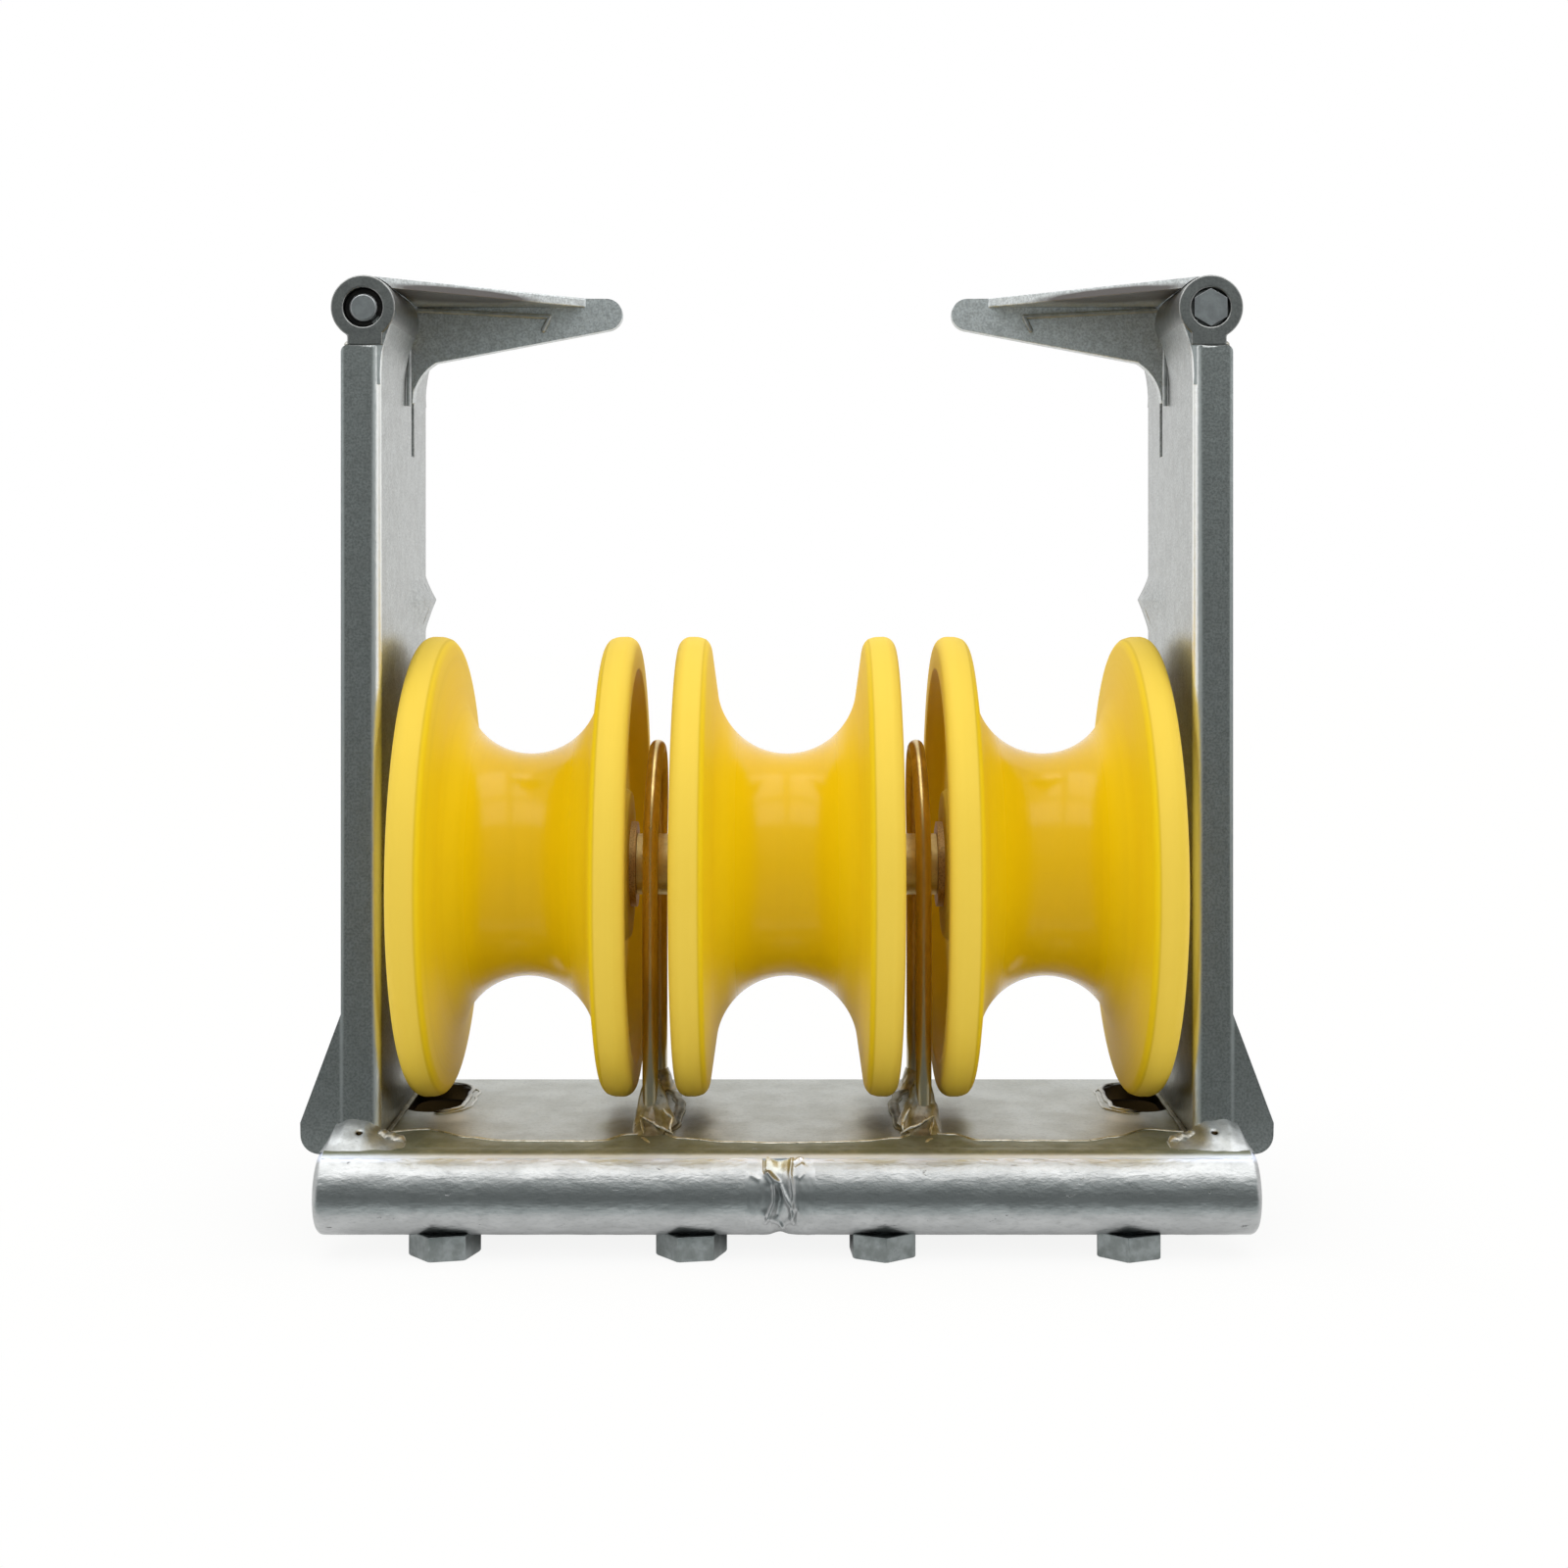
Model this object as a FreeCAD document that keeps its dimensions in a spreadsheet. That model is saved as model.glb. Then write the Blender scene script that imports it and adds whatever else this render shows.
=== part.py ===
"""Cable pulley block: three hourglass rollers on one axle in a welded steel U frame.

Two sprung gate fingers close the mouth of the frame, and two wire hairpins part the rollers.
Millimetres, +Z up. X runs along the axle, the front bar faces -Y, and the origin is on the
ground straight below the middle of the axle.
"""

import FreeCAD, Part
import math
import os
import re

import Sketcher

# Every driving size, with what it is. The spreadsheet of the document is filled from this.
SIZES = {
    "plate_length": (282.0, "base plate along the axle"),
    "bar_diameter": (25.4, "front bar, outside"),
    "bar_past_plate": (1.3, "end of the front bar past the end of the plate"),
    "bar_end_round": (2.0, "rounding of the outer ends of the front bar"),
    "bar_standoff": (0.6, "front of the uprights to the nearest line of the bar"),
    "weld_width": (6.0, "butt weld in the middle of the front bar"),
    "weld_dip": (0.7, "how far the butt weld lies under the bar's surface at its waist"),
    "bolt_size": (12.0, "thread of the hex bolts under the front bar"),
    "bolt_head_flats": (19.0, "hex head across flats"),
    "bolt_head_height": (7.5, "hex head height"),
    "bolt_chamfer": (0.9, "circle where a head's chamfer starts, past its flats"),
    "bolt_depth": (16.0, "threaded hole in the bar"),
    "bolt_end_gap": (0.5, "end of a bolt to the bottom of its hole"),
    "hex_bevel": (30.0, "bevel of the hex heads and nuts, in degrees"),
    "bolt_inner_x": (29.0, "inner bolts from the middle"),
    "bolt_inset": (37.0, "outer bolts inside the end of the plate"),
    "spotface_depth": (1.5, "flat milled in the bar for a bolt head"),
    "spotface_diameter": (23.0, "diameter of that flat's cutter"),
    "plate_thickness": (6.0, "base plate"),
    "plate_rear": (46.0, "axle plane to the rear face of the base plate"),
    "plate_drop": (0.6, "top of the bar down to the top of the plate"),
    "plate_corner": (4.0, "corner radius of the plate seen from above"),
    "lip_bend": (5.0, "outside radius where the plate folds down into its rear lip"),
    "lip_bend_inside": (2.5, "inside radius of that fold"),
    "slot_width": (19.0, "bolt slots in the base plate"),
    "slot_length": (44.0, "bolt slots end to end, across the plate"),
    "slot_y": (15.0, "middle of the bolt slots behind the axle plane"),
    "upright_inset": (14.9, "inner face of an upright inside the end of the plate"),
    "slot_inset": (9.1, "middle of a bolt slot from the inner face of the upright"),
    "upright_depth": (90.0, "upright front to back"),
    "upright_height": (246.8, "upright above the base plate"),
    "sheet_thickness": (4.0, "sheet of the uprights"),
    "flange_width": (12.3, "flanges of the uprights, outside the inner face"),
    "bend_radius": (3.0, "outside bend of the uprights"),
    "flange_round": (2.0, "corner of the flanges at the top"),
    "foot_reach": (24.9, "flared foot of the flanges, outside the inner face"),
    "foot_start": (39.2, "where the flare starts above the plate"),
    "foot_knee": (5.5, "where the flare ends above the plate"),
    "foot_drop": (4.3, "how far the foot laps down past the top of the plate"),
    "foot_round": (6.0, "outer corner of the foot"),
    "foot_gap": (0.3, "foot to the end of the base plate"),
    "lug_proud": (3.7, "pressed lug at the rear edge of an upright, inward"),
    "lug_low": (157.0, "lower end of the lug above the plate"),
    "lug_peak": (167.3, "peak of the lug above the plate"),
    "lug_high": (175.0, "upper end of the lug above the plate"),
    "lug_run": (9.0, "lug along the upright's depth"),
    "gate_slot_length": (31.3, "slot for the gate, down from the top of the upright"),
    "axle_rise": (80.3, "axle above the base plate"),
    "axle_diameter": (16.0, "axle"),
    "axle_bevel": (1.0, "bevel of the axle's ends"),
    "axle_fit": (0.05, "radial clearance of the bushes on the axle"),
    "washer_diameter": (30.0, "axle washers"),
    "washer_thickness": (3.0, "axle washers"),
    "nut_flats": (24.0, "axle nuts across flats"),
    "nut_height": (8.0, "axle nuts"),
    "axle_thread_proud": (2.0, "axle end past its nut"),
    "spacer_diameter": (20.0, "spacer tubes on the axle"),
    "spacer_fit": (0.1, "radial clearance of the spacers on the axle"),
    "end_play": (0.1, "side clearance between a bush and a spacer"),
    "roller_gap": (13.3, "gap between two rollers"),
    "roller_side_gap": (5.85, "gap between a roller and its upright"),
    "rim_diameter": (150.0, "roller over its rims"),
    "neck_diameter": (72.8, "roller at the bottom of its groove"),
    "rim_land": (12.45, "side of the groove's arc to the roller's side face"),
    "groove_draft": (8.0, "slope of the groove's walls, in degrees"),
    "rim_inner_round": (4.5, "rim corner on the groove side"),
    "rim_outer_round": (4.0, "rim corner on the outer side"),
    "dish_depth": (7.0, "hollow of the roller's side faces"),
    "dish_rim": (11.0, "height of the rim ring round the hollow"),
    "dish_slope": (2.5, "run-out of the hollow's walls"),
    "hub_diameter": (48.0, "hub boss in the hollow"),
    "hub_setback": (2.3, "rim face back to the hub face"),
    "bush_outside": (22.0, "bush in the roller"),
    "bush_length": (25.0, "bush in the hub"),
    "bush_flange_diameter": (28.0, "flange of a bush"),
    "bush_flange": (2.0, "flange thickness of a bush"),
    "wire_diameter": (5.0, "divider wires"),
    "wire_leg_y": (16.0, "legs of a divider wire from the axle plane"),
    "wire_top": (41.0, "top of a divider wire above the axle"),
    "wire_offset": (1.2, "divider wires outside the middle of their gap"),
    "hinge_out": (5.5, "hinge axis outside the inner face of the upright"),
    "hinge_rise": (11.8, "hinge axis above the top of the upright"),
    "knuckle_diameter": (20.0, "hinge knuckles"),
    "knuckle_foot_width": (11.0, "foot that joins a knuckle to the upright"),
    "knuckle_foot_inset": (0.6, "foot of a knuckle inside the inner face of the upright"),
    "front_knuckle_end": (1.0, "rear end of the front knuckle behind the axle plane"),
    "rear_knuckle_start": (22.0, "front end of the rear knuckle behind the axle plane"),
    "clip_recess": (12.2, "recess in the knuckle ends"),
    "clip_recess_depth": (2.8, "depth of that recess"),
    "pin_diameter": (8.8, "hinge pins"),
    "pin_inset": (0.5, "pin ends inside the knuckle ends"),
    "pin_bevel": (0.6, "bevel of the pin ends"),
    "pin_fit": (0.05, "radial clearance of the gate on its pin"),
    "pin_head_flats": (10.2, "hex head of the right-hand pin"),
    "clip_outside": (11.4, "retaining clips"),
    "clip_inside": (7.6, "retaining clips and their grooves in the pins"),
    "clip_thickness": (1.0, "retaining clips"),
    "clip_mouth": (4.0, "opening of a clip"),
    "gate_front": (12.6, "front face of the gate blade behind the axle plane"),
    "gate_thickness": (5.0, "gate blade"),
    "gate_knuckle": (9.0, "gate knuckle along the pin"),
    "gate_slot_gap": (0.3, "side clearance of the gate in its slot"),
    "gate_tip_x": (71.0, "hinge axis to the middle of the finger's tip"),
    "gate_tip_radius": (5.3, "tip of the finger"),
    "gate_root_x": (13.7, "start of the finger's lower edge from the hinge axis"),
    "gate_root_drop": (11.5, "start of that edge below the hinge axis"),
    "gate_heel_x": (5.8, "inner corner of the heel from the hinge axis"),
    "gate_heel_drop": (25.0, "heel below the hinge axis"),
    "gate_heel_out": (6.0, "heel outside the hinge axis"),
    "gate_heel_bevel": (2.0, "cut corner of the heel"),
    "gate_throat": (16.0, "hollow radius between finger and heel"),
    "gate_flange": (3.0, "top flange of the finger"),
    "gate_flange_front": (42.0, "top flange in front of the axle plane"),
    "gate_flange_x": (2.0, "start of the top flange from the hinge axis"),
    "gate_flange_tip": (64.0, "end of the top flange from the hinge axis"),
    "gate_knuckle_gap": (0.4, "top flange to the front knuckle"),
    "stop_diameter": (5.0, "stop pin in the gate's heel"),
    "stop_length": (16.0, "stop pin"),
    "stop_drop": (20.5, "stop pin below the hinge axis"),
    "stop_gap": (0.1, "stop pin to the upright with the gate shut"),
    "spring_wire": (1.6, "wire of the gate springs"),
    "spring_turns": (5.1, "turns of a gate spring"),
    "spring_gap": (0.3, "spring to the knuckles beside it"),
    "spring_leg_end": (27.0, "end of the leg on the upright below the hinge axis"),
    "spring_leg_seat": (0.1, "leg to the inner face of the upright"),
    "arm_reach": (52.0, "end of the spring's arm from the hinge axis"),
    "arm_fall": (2.3, "how far the arm falls along the finger"),
    "arm_hook": (4.5, "hook at the end of the arm"),
    "arm_seat": (0.1, "arm to the blade and to the top flange"),
}

# Lengths along the axle that follow from the base plate and the gaps between its pieces.
FOLLOWING = {
    "bar_length": "(plate_length + 2 * bar_past_plate)",
    "bolt_outer_x": "(plate_length / 2 - bolt_inset)",
    "upright_inner": "(plate_length / 2 - upright_inset)",
    "slot_x": "(upright_inner - slot_inset)",
    "roller_width": "((2 * upright_inner - 2 * roller_side_gap - 2 * roller_gap) / 3)",
    "roller_pitch": "(roller_width + roller_gap)",
    "groove_radius": "(roller_width / 2 - rim_land)",
}

# Sizes that follow from the driving ones, as formulas of the spreadsheet.
BAR_RADIUS = "bar_diameter / 2"
BOLT_SEAT = "bolt_head_height"
BAR_Z = f"({BOLT_SEAT} - spotface_depth + bar_diameter / 2)"
BAR_Y = "(upright_depth / 2 + bar_standoff + bar_diameter / 2)"
PLATE_TOP = f"({BAR_Z} + bar_diameter / 2 - plate_drop)"
PLATE_BOTTOM = f"({PLATE_TOP} - plate_thickness)"
AXLE_Z = f"({PLATE_TOP} + axle_rise)"
HINGE_X = "(upright_inner + hinge_out)"
HINGE_Z = f"({PLATE_TOP} + upright_height + hinge_rise)"
HUB_FACE = "(roller_width / 2 - hub_setback)"
BUSH_FACE = "(roller_width / 2 - hub_setback + bush_flange)"
INNER_SPACER = f"(roller_pitch - 2 * {BUSH_FACE} - 2 * end_play)"
OUTER_SPACER = f"(upright_inner - roller_pitch - {BUSH_FACE} - end_play)"
WASHER_START = "(upright_inner + sheet_thickness)"
NUT_START = f"({WASHER_START} + washer_thickness)"
AXLE_END = f"({NUT_START} + nut_height + axle_thread_proud)"
TIP_Z = "(knuckle_diameter / 2 - gate_tip_radius)"
EDGE_RUN = "(gate_tip_x - gate_root_x)"
EDGE_RISE = f"({TIP_Z} + gate_root_drop)"
EDGE_LENGTH = f"sqrt({EDGE_RUN} ^ 2 + {EDGE_RISE} ^ 2)"
EDGE_SLOPE = f"(atan({EDGE_RISE} / {EDGE_RUN}) - asin(gate_tip_radius / {EDGE_LENGTH}))"
HEX_CORNER = "2 / sqrt(3)"
SPRING_RADIUS = "(hinge_out + spring_leg_seat + spring_wire / 2)"

# How far a cut runs past the face that it opens, and how close two places count as one.
OVERRUN = "1"
NEAR = 0.01

WORD = re.compile(r"[a-z]+(?:_[a-z]+)+")

doc = FreeCAD.newDocument("CablePulleyBlock")
sheet = doc.addObject("Spreadsheet::Sheet", "Sizes")
parts = []


def fill_sheet():
    """Write every driving size into the spreadsheet, one row each."""
    for row, (alias, (size, note)) in enumerate(SIZES.items(), start=1):
        sheet.set(f"A{row}", alias)
        sheet.set(f"B{row}", str(size))
        sheet.set(f"C{row}", note)
        sheet.setAlias(f"B{row}", alias)
    doc.recompute()


def formula(text):
    """The expression with following lengths written out and sizes looked up in the sheet."""
    def look_up(found):
        name = found.group()
        return formula(FOLLOWING[name]) if name in FOLLOWING else "Sizes." + name
    return WORD.sub(look_up, str(text))


def amount(text):
    """The number that an expression gives now, used to start a sketch near its solution."""
    return float(sheet.evalExpression(formula(text)))


def bind(thing, **properties):
    """Tie properties of an object to expressions."""
    for name, text in properties.items():
        thing.setExpression(name, formula(text))


def place(thing, x="0", y="0", z="0"):
    """Tie an object's position to expressions."""
    thing.setExpression("Placement.Base.x", formula(x))
    thing.setExpression("Placement.Base.y", formula(y))
    thing.setExpression("Placement.Base.z", formula(z))


def keep(thing, label):
    """Count an object as a finished piece under this name."""
    thing.Label = label
    parts.append(thing)
    return thing


def new_body(name, x="0", y="0", z="0"):
    """An empty body whose local frame stands at the given place."""
    body = doc.addObject("PartDesign::Body", name)
    place(body, x, y, z)
    return body


def new_sketch(body, name, plane, offset="0"):
    """A sketch on one of the body's own planes, moved along that plane's normal."""
    sketch = body.newObject("Sketcher::SketchObject", name)
    base = [item for item in body.Origin.OriginFeatures if item.Role == plane][0]
    sketch.AttachmentSupport = [(base, "")]
    sketch.MapMode = "FlatFace"
    sketch.setExpression("AttachmentOffset.Base.z", formula(offset))
    return sketch


def fix(sketch, constraint, text):
    """Add a dimension to a sketch and tie it to an expression."""
    index = sketch.addConstraint(constraint)
    sketch.setExpression(f"Constraints[{index}]", formula(text))


def fix_point(sketch, geometry, position, across, up):
    """Dimension one point of a sketch from its origin."""
    fix(sketch, Sketcher.Constraint("DistanceX", -1, 1, geometry, position, amount(across)), across)
    fix(sketch, Sketcher.Constraint("DistanceY", -1, 1, geometry, position, amount(up)), up)


def arc_between(start, end, radius, turn):
    """The short arc from start to end: turn 1 runs counter-clockwise, -1 clockwise."""
    chord = end - start
    half = chord.Length / 2
    rise = math.sqrt(max(radius * radius - half * half, 0.0))
    side = FreeCAD.Vector(-chord.y, chord.x, 0).normalize() * rise * turn
    centre = start + chord / 2 + side
    first, last = (start, end) if turn > 0 else (end, start)
    angles = [math.atan2(point.y - centre.y, point.x - centre.x) for point in (first, last)]
    circle = Part.Circle(centre, FreeCAD.Vector(0, 0, 1), radius)
    return Part.ArcOfCircle(circle, angles[0], angles[1])


def outline(sketch, points):
    """Closed profile. A point is (across, up), or (across, up, radius, turn) where an arc leaves it."""
    spots = [FreeCAD.Vector(amount(point[0]), amount(point[1]), 0) for point in points]
    ends = []
    first = sketch.GeometryCount
    for index, point in enumerate(points):
        start, end = spots[index], spots[(index + 1) % len(points)]
        if len(point) == 2:
            sketch.addGeometry(Part.LineSegment(start, end))
            ends.append((1, 2))
        else:
            sketch.addGeometry(arc_between(start, end, amount(point[2]), point[3]))
            ends.append((1, 2) if point[3] > 0 else (2, 1))
    for index, point in enumerate(points):
        after = (index + 1) % len(points)
        sketch.addConstraint(Sketcher.Constraint(
            "Coincident", first + index, ends[index][1], first + after, ends[after][0]))
        fix_point(sketch, first + index, ends[index][0], point[0], point[1])
        if len(point) > 2:
            radius = point[2]
            fix(sketch, Sketcher.Constraint("Radius", first + index, amount(radius)), radius)


def circle(sketch, across, up, radius):
    """A circle dimensioned from the sketch's origin."""
    centre = FreeCAD.Vector(amount(across), amount(up), 0)
    index = sketch.addGeometry(Part.Circle(centre, FreeCAD.Vector(0, 0, 1), amount(radius)))
    fix_point(sketch, index, 3, across, up)
    fix(sketch, Sketcher.Constraint("Radius", index, amount(radius)), radius)


def extrude(body, name, plane, start, length, draw, cut=False):
    """Pad or pocket from start along +X, +Y or +Z, whichever the plane faces.

    draw is a list of points for an outline, or of (across, up, radius) circles in a tuple.
    """
    faces_back = plane == "XZ_Plane"
    offset = f"-({start})" if faces_back else start
    sketch = new_sketch(body, name + "_profile", plane, offset)
    if isinstance(draw, tuple):
        for across, up, radius in draw:
            circle(sketch, across, up, radius)
    else:
        outline(sketch, draw)
    kind = "PartDesign::Pocket" if cut else "PartDesign::Pad"
    before = volume(body)
    feature = body.newObject(kind, name)
    feature.Profile = sketch
    feature.Reversed = faces_back != cut
    bind(feature, Length=length)
    doc.recompute()
    grown = volume(body) - before
    if (cut and grown > -1e-3) or (not cut and grown < 1e-3):
        raise RuntimeError(f"{body.Name}: {name} changed the volume by {grown:.4f}")
    return feature


def volume(body):
    """Volume of the body's shape so far."""
    doc.recompute()
    return 0.0 if body.Tip is None or body.Shape.isNull() else body.Shape.Volume


def spin(body, name, plane, axis, draw, cut=False):
    """Revolve or groove a profile once round an axis of its sketch."""
    sketch = new_sketch(body, name + "_profile", plane)
    outline(sketch, draw)
    before = volume(body)
    feature = body.newObject("PartDesign::Groove" if cut else "PartDesign::Revolution", name)
    feature.Profile = sketch
    feature.ReferenceAxis = (sketch, [axis])
    feature.Angle = 360
    doc.recompute()
    grown = volume(body) - before
    if (cut and grown > -1e-3) or (not cut and grown < 1e-3):
        raise RuntimeError(f"{body.Name}: {name} changed the volume by {grown:.4f}")
    return feature


def round_edges(body, name, radius, wanted):
    """Fillet the edges of the body's present shape that the test picks, in local places."""
    base = body.Tip
    local = base.Shape
    names = [f"Edge{number}" for number, edge in enumerate(local.Edges, start=1) if wanted(edge)]
    if not names:
        raise RuntimeError(f"{body.Name}: no edge for {name}")
    feature = body.newObject("PartDesign::Fillet", name)
    feature.Base = (base, names)
    bind(feature, Radius=radius)
    doc.recompute()
    return feature


def primitive(kind, name, turn=None, **sizes):
    """One Part primitive with its sizes tied, turned by (axis, degrees)."""
    thing = doc.addObject("Part::" + kind, name)
    if turn:
        thing.Placement = FreeCAD.Placement(FreeCAD.Vector(), FreeCAD.Rotation(turn[0], turn[1]))
    bind(thing, **sizes)
    return thing


def group(label, members):
    """Several like solids as one piece of the list."""
    thing = doc.addObject("Part::Compound", label)
    thing.Links = members
    return keep(thing, label)


def mirrored(source, label):
    """The right-hand piece made from the left-hand one."""
    thing = doc.addObject("Part::Mirroring", label)
    thing.Source = source
    thing.Base = FreeCAD.Vector(0, 0, 0)
    thing.Normal = FreeCAD.Vector(1, 0, 0)
    return keep(thing, label)


X_AXIS = FreeCAD.Vector(1, 0, 0)
Y_AXIS = FreeCAD.Vector(0, 1, 0)
Z_AXIS = FreeCAD.Vector(0, 0, 1)


def rectangle(left, low, right, high):
    """Four corners of an upright rectangle, counter-clockwise."""
    return [(left, low), (right, low), (right, high), (left, high)]


def parallel(edge, direction):
    """Whether a straight edge runs along a direction."""
    if len(edge.Vertexes) != 2 or edge.Curve.TypeId != "Part::GeomLine":
        return False
    along = (edge.Vertexes[1].Point - edge.Vertexes[0].Point).normalize()
    return abs(abs(along.dot(direction)) - 1.0) < 1e-6


def along_x(height, depth):
    """A test for straight edges along X at a given height and depth."""
    def wanted(edge):
        """Whether this edge is one of them."""
        at = [abs(v.Point.z - height) < NEAR and abs(v.Point.y - depth) < NEAR for v in edge.Vertexes]
        return parallel(edge, X_AXIS) and all(at)
    return wanted


def make_base_plate():
    """Plate folded down at its rear, its front edge scribed to the round bar and welded to it."""
    body = new_body("base_plate")
    half = "plate_length / 2"
    top, bottom = PLATE_TOP, PLATE_BOTTOM
    shut = f"-({BAR_Y})"
    extrude(body, "top", "YZ_Plane", f"-{half}", "plate_length", rectangle(
        shut, bottom, "plate_rear", top))
    extrude(body, "lip", "YZ_Plane", f"-{half}", "plate_length", rectangle(
        "plate_rear - plate_thickness", "0", "plate_rear", f"{top} - plate_thickness / 2"))
    extrude(body, "bar_seat", "YZ_Plane", f"-{half} - {OVERRUN}", f"plate_length + 2 * {OVERRUN}", (
        (shut, BAR_Z, BAR_RADIUS),), cut=True)
    round_edges(body, "fold", "lip_bend", along_x(amount(top), amount("plate_rear")))
    inner = amount("plate_rear - plate_thickness")
    round_edges(body, "fold_inside", "lip_bend_inside", along_x(amount(bottom), inner))
    end = amount(half)
    round_edges(body, "lip_corners", "plate_corner", lambda edge: parallel(edge, Y_AXIS) and all(
        abs(abs(v.Point.x) - end) < NEAR and abs(v.Point.z) < NEAR for v in edge.Vertexes))
    near = "slot_y - slot_length / 2 + slot_width / 2"
    far = "slot_y + slot_length / 2 - slot_width / 2"
    wide = "slot_width / 2"
    for side, sign in (("left", "-1"), ("right", "1")):
        middle = f"{sign} * slot_x"
        slot = [
            (f"{middle} - {wide}", far), (f"{middle} - {wide}", near, wide, 1),
            (middle, f"{near} - {wide}", wide, 1), (f"{middle} + {wide}", near),
            (f"{middle} + {wide}", far, wide, 1), (middle, f"{far} + {wide}", wide, 1)]
        extrude(body, f"{side}_slot", "XY_Plane", f"{bottom} - {OVERRUN}",
                f"plate_thickness + 2 * {OVERRUN}", slot, cut=True)
    keep(body, "base_plate")


def make_front_bar():
    """Round bar of two lengths, butt-welded in the middle and spot-faced for its four bolts."""
    half, joint = "bar_length / 2", "weld_width / 2"
    lead = "bar_end_round"
    body = new_body("bar_left", y=f"-{BAR_Y}", z=BAR_Z)
    radius = BAR_RADIUS
    spin(body, "bar", "XZ_Plane", "H_Axis", [
        (f"-{half}", "0"), (f"-{joint}", "0"), (f"-{joint}", f"{radius} - weld_dip"),
        (f"-{joint} - weld_dip", radius), (f"-{half} + {lead}", radius, lead, 1),
        (f"-{half}", f"{radius} - {lead}")])
    for name in ("bolt_inner_x", "bolt_outer_x"):
        spot = ((f"-{name}", "0", "spotface_diameter / 2"),)
        flat = f"-{radius}"
        extrude(body, name.replace("_x", "_spotface"), "XY_Plane", f"{flat} - {OVERRUN}",
                f"spotface_depth + {OVERRUN}", spot, cut=True)
        hole = ((f"-{name}", "0", "bolt_size / 2"),)
        extrude(body, name.replace("_x", "_hole"), "XY_Plane", f"{flat} + spotface_depth",
                "bolt_depth", hole, cut=True)
    keep(body, "front_bar_left")
    mirrored(body, "front_bar_right")

    weld = new_body("bar_weld", y=f"-{BAR_Y}", z=BAR_Z)
    spin(weld, "bead", "XZ_Plane", "H_Axis", [
        (f"-{joint}", "0"), (joint, "0"), (joint, f"{radius} - weld_dip"),
        (f"-{joint}", f"{radius} - weld_dip")])
    keep(weld, "front_bar_weld")


def make_bolts():
    """Four hex bolts screwed up into the front bar, each turned as it was left."""
    members = []
    point = "bolt_head_flats / 2 + bolt_chamfer"
    spots = (("a", "-bolt_outer_x", 12), ("b", "-bolt_inner_x", 10),
             ("c", "bolt_inner_x", 34), ("d", "bolt_outer_x", 21))
    for mark, x, turn in spots:
        head = primitive("Prism", f"bolt_{mark}_hex", (Z_AXIS, turn), Height="bolt_head_height",
                         Circumradius=f"bolt_head_flats / 2 * {HEX_CORNER}")
        head.Polygon = 6
        bevel = primitive("Cone", f"bolt_{mark}_bevel", None, Height="bolt_head_height",
                          Radius1=point,
                          Radius2=f"{point} + bolt_head_height / tan(hex_bevel)")
        shaped = doc.addObject("Part::Common", f"bolt_{mark}_head")
        shaped.Base = head
        shaped.Tool = bevel
        shank = primitive("Cylinder", f"bolt_{mark}_shank", None, Radius="bolt_size / 2",
                          Height=f"{BOLT_SEAT} + bolt_depth - bolt_end_gap")
        bolt = doc.addObject("Part::Fuse", f"bolt_{mark}")
        bolt.Base = shaped
        bolt.Tool = shank
        place(bolt, x, f"-{BAR_Y}")
        members.append(bolt)
    group("front_bolts", members)


def make_uprights():
    """Bent channel: web, two flanges that flare into feet, gate slot, axle hole and lug."""
    body = new_body("upright", x="-upright_inner", z=PLATE_TOP)
    depth, sheet_wall = "upright_depth", "sheet_thickness"
    half = "upright_depth / 2"
    extrude(body, "web", "XZ_Plane", f"-{half}", depth, rectangle(
        f"-{sheet_wall}", "0", "0", "upright_height"))
    end = "-(plate_length / 2 + foot_gap - upright_inner)"
    knee = ("-foot_reach", "foot_knee")
    flange = [
        ("0", "0"), ("0", "upright_height"),
        ("-flange_width + flange_round", "upright_height", "flange_round", 1),
        ("-flange_width", "upright_height - flange_round"),
        ("-flange_width", "foot_start"), knee,
        ("-foot_reach", "foot_round - foot_drop", "foot_round", 1),
        ("-foot_reach + foot_round", "-foot_drop"),
        (end, "-foot_drop"), (end, "0")]
    extrude(body, "front_flange", "XZ_Plane", f"-{half}", sheet_wall, flange)
    extrude(body, "rear_flange", "XZ_Plane", f"{half} - {sheet_wall}", sheet_wall, flange)
    faces = amount(half)
    round_edges(body, "bends", "bend_radius", lambda edge: parallel(edge, Z_AXIS) and all(
        abs(v.Point.x) < NEAR and abs(abs(v.Point.y) - faces) < NEAR for v in edge.Vertexes))
    root = "-sheet_thickness / 2"
    lug = [(root, "lug_low"), ("0", "lug_low"), ("lug_proud", "lug_peak"), ("0", "lug_high"),
           (root, "lug_high")]
    extrude(body, "lug", "XZ_Plane", f"{half} - bend_radius - lug_run", "lug_run", lug)
    extrude(body, "gate_slot", "XZ_Plane", "gate_front - gate_slot_gap",
            "gate_thickness + 2 * gate_slot_gap", rectangle(
                f"-{sheet_wall} - {OVERRUN}", "upright_height - gate_slot_length", OVERRUN,
                f"upright_height + {OVERRUN}"), cut=True)
    extrude(body, "axle_hole", "YZ_Plane", f"-{sheet_wall} - {OVERRUN}",
            f"{sheet_wall} + 2 * {OVERRUN}", (("0", "axle_rise", "axle_diameter / 2"),), cut=True)
    keep(body, "upright_left")
    mirrored(body, "upright_right")


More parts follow.
